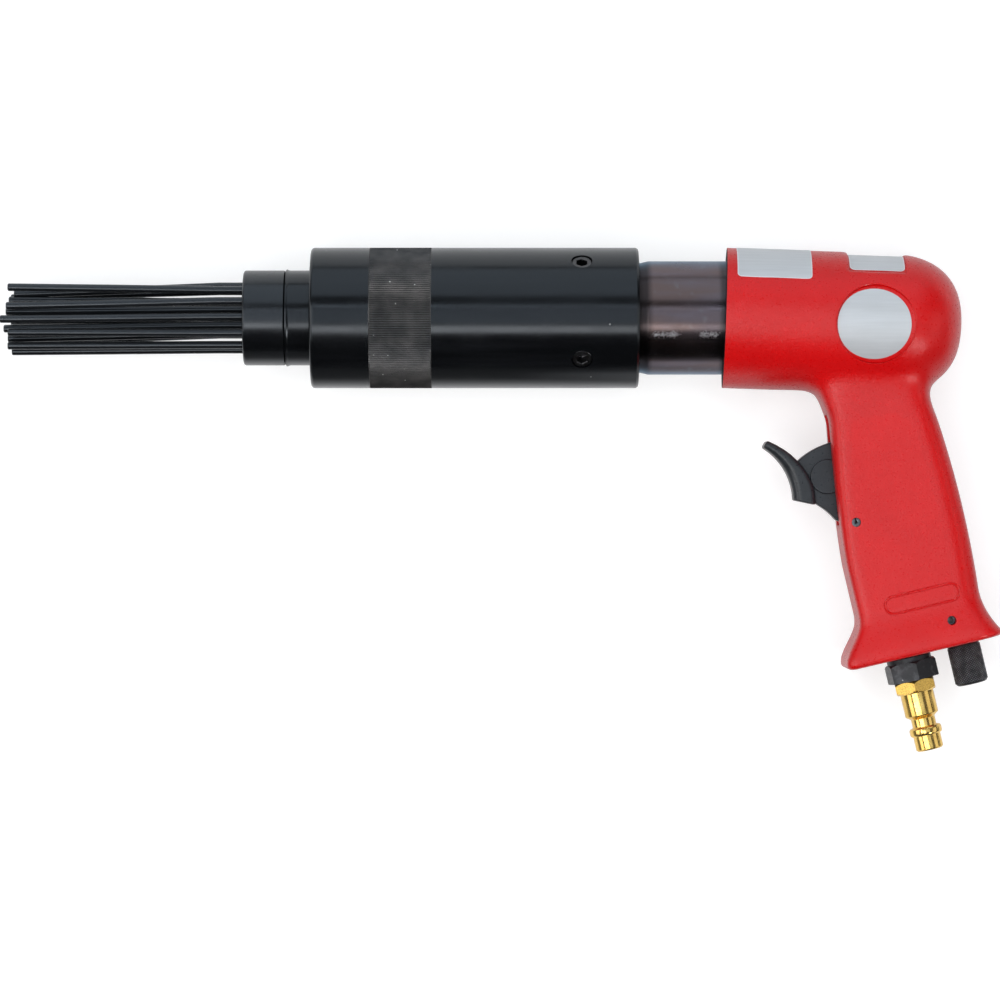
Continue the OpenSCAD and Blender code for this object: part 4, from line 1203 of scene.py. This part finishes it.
class SCALER_OT_tube(bpy.types.Operator):
    """Turn the tube with its knurled band, and the nose"""

    bl_idname = "scaler.tube"
    bl_label = "Turn tube and nose"

    def execute(self, context):
        settings = context.scene.scaler_tube
        tube = turn_on_barrel("tube_turned", TUBE, 2 * settings.teeth)
        low, high = (to_bench(x, 0).x for x in BAND)
        self.knurl(tube, low, high, settings)
        holes = [rod("hole", *screw_points(turned, 20, 30), 4.0) for turned in SCREW_TURNS]
        combine(tube, join(*holes))
        oxide = oxide_steel("oxide_steel", settings.oxide, settings.oxide_worn, 0.2)
        seat(tube, [oxide, knurled_steel(settings.knurl, settings.knurl_worn)], ["tube"], angle=24)
        for face in tube.data.polygons:
            off = math.hypot(face.center.y - ORIGIN.y, face.center.z - ORIGIN.z)
            face.material_index = int(low - 3e-4 < face.center.x < high + 3e-4 and off > (TUBE_R - 1) * MM)
        nose = turn_on_barrel("nose_cap_turned", NOSE, 192)
        nose_steel = oxide_steel("nose_steel", settings.oxide, settings.oxide_worn, 0.24, 0.7)
        seat(nose, [nose_steel], ["nose_cap"], angle=28)
        return {"FINISHED"}

    def knurl(self, tube, low, high, settings):
        """Draws in every other line of points of the band."""
        step = math.pi / settings.teeth
        for vertex in tube.data.vertices:
            y, z = vertex.co.y - ORIGIN.y, vertex.co.z - ORIGIN.z
            off = math.hypot(y, z)
            inside = low - 1e-5 < vertex.co.x < high + 1e-5
            if inside and off > (TUBE_R - 1) * MM and round(math.atan2(z, y) / step) % 2:
                scale = 1 - settings.depth / off
                vertex.co.y, vertex.co.z = ORIGIN.y + y * scale, ORIGIN.z + z * scale


class SCALER_OT_screws(bpy.types.Operator):
    """Fit the socket set screws"""

    bl_idname = "scaler.screws"
    bl_label = "Fit set screws"

    def execute(self, context):
        pieces = []
        for turned in SCREW_TURNS:
            foot, head, floor, past = screw_points(turned, 21.85, 26.3, 22.4, 32.4)
            screw = rod("set_screws_turned", foot, head, 3.85)
            combine(screw, rod("socket", floor, past, 2 / math.cos(math.radians(30)), 6))
            soften(screw, 0.4, 3, 40, worn=True)
            out = (head - foot).normalized()
            # Painted shade: the faces inside each hex socket take a near-black third finish.
            for face in screw.data.polygons:
                off, down = (face.center - head).cross(out).length, (head - face.center).dot(out)
                if off < 2.25 * MM and down > 0.5 * MM:
                    face.material_index = 2
            pieces.append(screw)
        screws = join(*pieces)
        finishes = [
            bright_steel("screw_steel", (0.1, 0.1, 0.104), 0.32),
            bright_steel("screw_edge", (0.62, 0.62, 0.63), 0.36),
            # Near-black finish of the sockets, a painted shade.
            black_fitting("screw_socket", (0.006, 0.006, 0.007), (0.02, 0.02, 0.022)),
        ]
        seat(screws, finishes, ["set_screws"], angle=30)
        return {"FINISHED"}


# Ends of a needle along the barrel's frame, and where it leaves the nose and starts to bend, in mm
NEEDLE_HEAD = -96.7
NEEDLE_BEND = -194.0
NEEDLE_TIP = -277.7

# Sway of each needle's tip across the bundle, and the wear of its tip
NEEDLE_SWAY = [(0.8, 0.3, 3.0), (0.65, 0.4, 3.5), (0.3, -0.5, 4.0), (-0.5, -0.4, 4.0), (-1.8, 0.3, 3.1)]
NEEDLE_SWAY += [(-1.3, 0.6, 2.1), (-0.75, 0.5, 2.9), (-2.8, 0.6, 2.8), (0.9, 0.4, 5.0), (-0.7, -0.3, 4.6)]
NEEDLE_SWAY += [(-0.35, 0.4, 3.7), (0.2, 0.3, 4.2), (-0.9, 0.2, 1.3), (-1.85, -0.4, 3.4), (1.0, 0.5, 3.7)]
NEEDLE_SWAY += [(-3.0, -0.3, 5.4), (-2.1, 0.5, 5.0), (2.0, 0.6, 3.2), (-1.0, 0.4, 3.0)]


class SCALER_OT_needles(bpy.types.Operator):
    """Lay out the needles, each a little bent between the nose and its tip"""

    bl_idname = "scaler.needles"
    bl_label = "Lay out needles"

    def execute(self, context):
        settings = context.scene.scaler_needles
        material = oxide_steel("needle_steel", settings.steel, settings.worn, 0.22, 0.8)
        r = settings.diameter / MM / 2
        shoulder, reach = NEEDLE_TIP + 0.35, NEEDLE_BEND - NEEDLE_TIP
        profile = [(NEEDLE_TIP, 0), (NEEDLE_TIP, r - 0.3), (shoulder, r)]
        profile += [(shoulder + reach * k / 14, r) for k in range(1, 15)]
        profile += [(NEEDLE_HEAD - 2.5, r), (NEEDLE_HEAD - 2.5, 2.3), (NEEDLE_HEAD, 2.3), (NEEDLE_HEAD, 0)]
        needles = [turn_on_barrel("needle_wire_1", profile, 16)]
        for number in range(2, len(NEEDLE_SWAY) + 1):
            pick(needles[0])
            bpy.ops.object.duplicate()
            needles.append(bpy.context.object)
            needles[-1].name = f"needle_wire_{number}"
        for number, (needle, sway) in enumerate(zip(needles, NEEDLE_SWAY), start=1):
            low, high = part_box(f"needle_{number}")
            shift = (low + high) / 2 - ORIGIN
            sway_y, sway_z, wear = sway
            for vertex in needle.data.vertices:
                s = share((ORIGIN.x - vertex.co.x) / MM, -NEEDLE_BEND, -NEEDLE_TIP)
                lean = s * (1.15 - 0.15 * s)
                vertex.co.x += wear * MM * s
                vertex.co.y += shift.y + sway_y * MM * lean
                vertex.co.z += shift.z + sway_z * MM * lean
            seat(needle, [material], [f"needle_{number}"], angle=30)
        return {"FINISHED"}


# The needle spring: its wire in mm, and its turns
SPRING_WIRE = 2.6
SPRING_TURNS = 7


def coil(name, node, wire, turns):
    """Helical spring along the barrel, in the box of its CAD node."""
    low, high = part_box(node)
    section = circle(low.x + wire / 2 - ORIGIN.x, (high.z - low.z - wire) / 2, wire / 2, 12)
    spring = ring(name, [Vector((x, 0, z)) for x, z in section])
    spring.location = ORIGIN
    rise = (high.x - low.x - wire) / turns
    modify(spring, "SCREW", axis="X", angle=2 * math.pi, iterations=turns, steps=40, screw_offset=rise)
    pick(spring)
    settle()
    edit_all(spring)
    bpy.ops.mesh.fill_holes(sides=0)
    tidy(spring)
    bpy.ops.object.shade_smooth_by_angle(angle=math.radians(40))
    return spring


class SCALER_OT_inside(bpy.types.Operator):
    """Wind the needle spring and finish the other pieces inside the tool"""

    bl_idname = "scaler.inside"
    bl_label = "Finish inner pieces"

    def execute(self, context):
        bright = bright_steel("bright_steel", (0.58, 0.58, 0.59), 0.3)
        dark = bright_steel("dark_steel", (0.13, 0.13, 0.14), 0.4)
        rubber = seal_rubber("seal_rubber", (0.02, 0.02, 0.02))
        by_slot = {"bright_steel": bright, "dark_steel": dark, "seal_rubber": rubber}
        spring = coil("needle_spring_wound", "needle_spring", SPRING_WIRE * MM, SPRING_TURNS)
        spring.data.materials.append(bright)
        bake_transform(spring)
        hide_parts("needle_spring")
        for node, obj in frame["nodes"].items():
            if not obj.hide_render:
                obj.data.materials.clear()
                obj.data.materials.append(by_slot[SLOT_OF[node]])
        return {"FINISHED"}


class SCALER_OT_stage(bpy.types.Operator):
    """Set up the pale floor, the studio light and the camera"""

    bl_idname = "scaler.stage"
    bl_label = "Set up stage"

    def execute(self, context):
        settings = context.scene.scaler_stage
        self.floor(settings)
        self.world(context.scene)
        self.lamps()
        self.camera(context.scene, settings)
        context.scene.view_settings.view_transform = "Standard"
        return {"FINISHED"}

    def floor(self, settings):
        """Paper that glows to the camera; to mirrored rays it glows only on the barrel's side and by the
        plug, a painted reflection, and is darkened elsewhere, a painted dark reflection.
        """
        deselect()
        bpy.ops.mesh.primitive_circle_add(vertices=96, radius=8, fill_type="NGON", location=(0, 0, -0.0004))
        floor = bpy.context.object
        floor.name = "floor"
        settle()
        finish = Finish("floor_paper", settings.floor, roughness=0.9)
        across = finish.add("ShaderNodeSeparateXYZ", {"Vector": finish.place}).outputs["Y"]
        # Painted reflection: the zone where the floor glows to mirrored rays, on the barrel's side and by
        # the plug.
        near = finish.span(across, ORIGIN.y - 0.09, ORIGIN.y - 0.045)
        by_plug = finish.vector("DISTANCE", finish.place, to_grip(0, -20), "Value")
        near = finish.calc("MAXIMUM", near, finish.span(by_plug, 0.16, 0.09))
        rays = finish.add("ShaderNodeLightPath").outputs
        # Painted dark reflection: outside that zone the floor is darkened for mirrored rays only.
        dark_reflection_mask = finish.calc("MULTIPLY", rays["Is Glossy Ray"], finish.calc("SUBTRACT", 1.0, near))
        finish.colour(finish.mix(dark_reflection_mask, settings.floor, shade_of(settings.floor, 0.2)))
        seen = finish.calc("MULTIPLY", rays["Is Glossy Ray"], finish.calc("MULTIPLY", near, 0.55))
        for kind in ("Is Camera Ray", "Is Transmission Ray"):
            seen = finish.calc("MAXIMUM", seen, rays[kind])
        finish.set(emission_color=(1, 1, 1, 1))
        finish.feed(finish.shader.inputs["Emission Strength"], finish.calc("MULTIPLY", seen, 0.6))
        floor.data.materials.append(finish.material)

    def world(self, scene):
        """Faint light that grows towards the photo's up."""
        world = bpy.data.worlds.new("studio")
        scene.world = world
        world.use_nodes = True
        nodes, links = world.node_tree.nodes, world.node_tree.links
        kinds = ("ShaderNodeTexCoord", "ShaderNodeSeparateXYZ", "ShaderNodeMapRange")
        place, split, rise = (nodes.new(kind) for kind in kinds)
        links.new(place.outputs["Generated"], split.inputs["Vector"])
        rise.interpolation_type = "SMOOTHSTEP"
        for key, value in {"From Min": -0.3, "From Max": 0.9, "To Min": 0.012, "To Max": 0.09}.items():
            rise.inputs[key].default_value = value
        links.new(split.outputs["Y"], rise.inputs["Value"])
        links.new(rise.outputs["Result"], nodes["Background"].inputs["Strength"])
        nodes["Background"].inputs["Color"].default_value = (0.95, 0.98, 1, 1)

    def lamps(self):
        """Area lamps, each with its place, aim, size, power, colour and whether it shows in reflections."""
        white, cool = (1, 1, 1), (0.8, 0.9, 1)
        lamps = [
            ("fill", (0.0, 0.0, 2.0), (0.0, 0.0), (2.2, 2.2), 26.0, white, False),
            ("top_box", (0.0, 0.085, 1.88), (0.0, 0.085), (2.0, 0.8), 4.4, cool, True),
            ("side_box", (0.0, 1.3, 0.75), (0.0, 0.05), (2.4, 1.4), 9.2, cool, True),
            ("strip_back", (0.05, 0.285, 0.75), (0.05, 0.07), (1.2, 0.02), 0.38, cool, True),
            ("strip_front", (-0.115, -0.2, 0.75), (-0.115, 0.0), (0.47, 0.15), 0.8, white, True),
            ("strip_left", (-0.36, -0.05, 0.75), (0.1, -0.05), (0.6, 0.05), 0.78, white, True),
            ("corner_box", (0.68, -0.58, 0.75), (0.1, 0.0), (0.24, 0.24), 2.4, white, True),
            ("end_left", (-1.3, -0.1, 0.75), (0.1, -0.1), (1.2, 0.8), 6.0, white, True),
            ("end_right", (1.5, -0.1, 0.75), (0.1, -0.1), (1.2, 0.8), 2.5, white, True),
        ]
        for name, place, aim, size, power, colour, glossy in lamps:
            data = bpy.data.lights.new(name, "AREA")
            data.shape = "RECTANGLE"
            data.size, data.size_y = size
            data.energy = power
            data.color = colour
            lamp = bpy.data.objects.new(name, data)
            bpy.context.scene.collection.objects.link(lamp)
            lamp.visible_glossy = glossy
            lamp.location = place
            lamp.rotation_euler = (Vector(place) - Vector((*aim, 0.03))).to_track_quat("Z", "Y").to_euler()

    def camera(self, scene, settings):
        """Camera straight above the middle of the photo."""
        data = bpy.data.cameras.new("camera")
        camera = bpy.data.objects.new("camera", data)
        scene.collection.objects.link(camera)
        data.lens = data.sensor_width * settings.distance / settings.width
        data.clip_start, data.clip_end = 0.05, 30
        right, down = ((PHOTO_MIDDLE - pixel) / PHOTO_SCALE for pixel in PHOTO_ORIGIN)
        camera.location = to_bench(right, -down, settings.distance / MM)
        scene.camera = camera


class SCALER_PT_panel(bpy.types.Panel):
    """Sidebar panel with the steps in order"""

    bl_idname = "SCALER_PT_panel"
    bl_label = "Needle scaler"
    bl_space_type = "VIEW_3D"
    bl_region_type = "UI"
    bl_category = "Needle scaler"

    def draw(self, context):
        for step in STEPS:
            self.layout.operator(step.bl_idname)
        for key, group in SETTINGS.items():
            box = self.layout.box()
            box.label(text=group.__doc__)
            for name in group.__annotations__:
                box.prop(getattr(context.scene, key), name)


STEPS = [
    SCALER_OT_stage,
    SCALER_OT_handle,
    SCALER_OT_foils,
    SCALER_OT_trigger,
    SCALER_OT_pins,
    SCALER_OT_inlet,
    SCALER_OT_regulator,
    SCALER_OT_barrel,
    SCALER_OT_tube,
    SCALER_OT_screws,
    SCALER_OT_needles,
    SCALER_OT_inside,
]
CLASSES = [*SETTINGS.values(), *STEPS, SCALER_PT_panel]


def register():
    for cls in CLASSES:
        bpy.utils.register_class(cls)
    for key, group in SETTINGS.items():
        setattr(bpy.types.Scene, key, bpy.props.PointerProperty(type=group))


def unregister():
    for key in SETTINGS:
        delattr(bpy.types.Scene, key)
    for cls in reversed(CLASSES):
        bpy.utils.unregister_class(cls)


def main():
    register()
    for step in STEPS:
        getattr(bpy.ops.scaler, step.bl_idname.split(".")[1])()


if __name__ == "__main__":
    main()
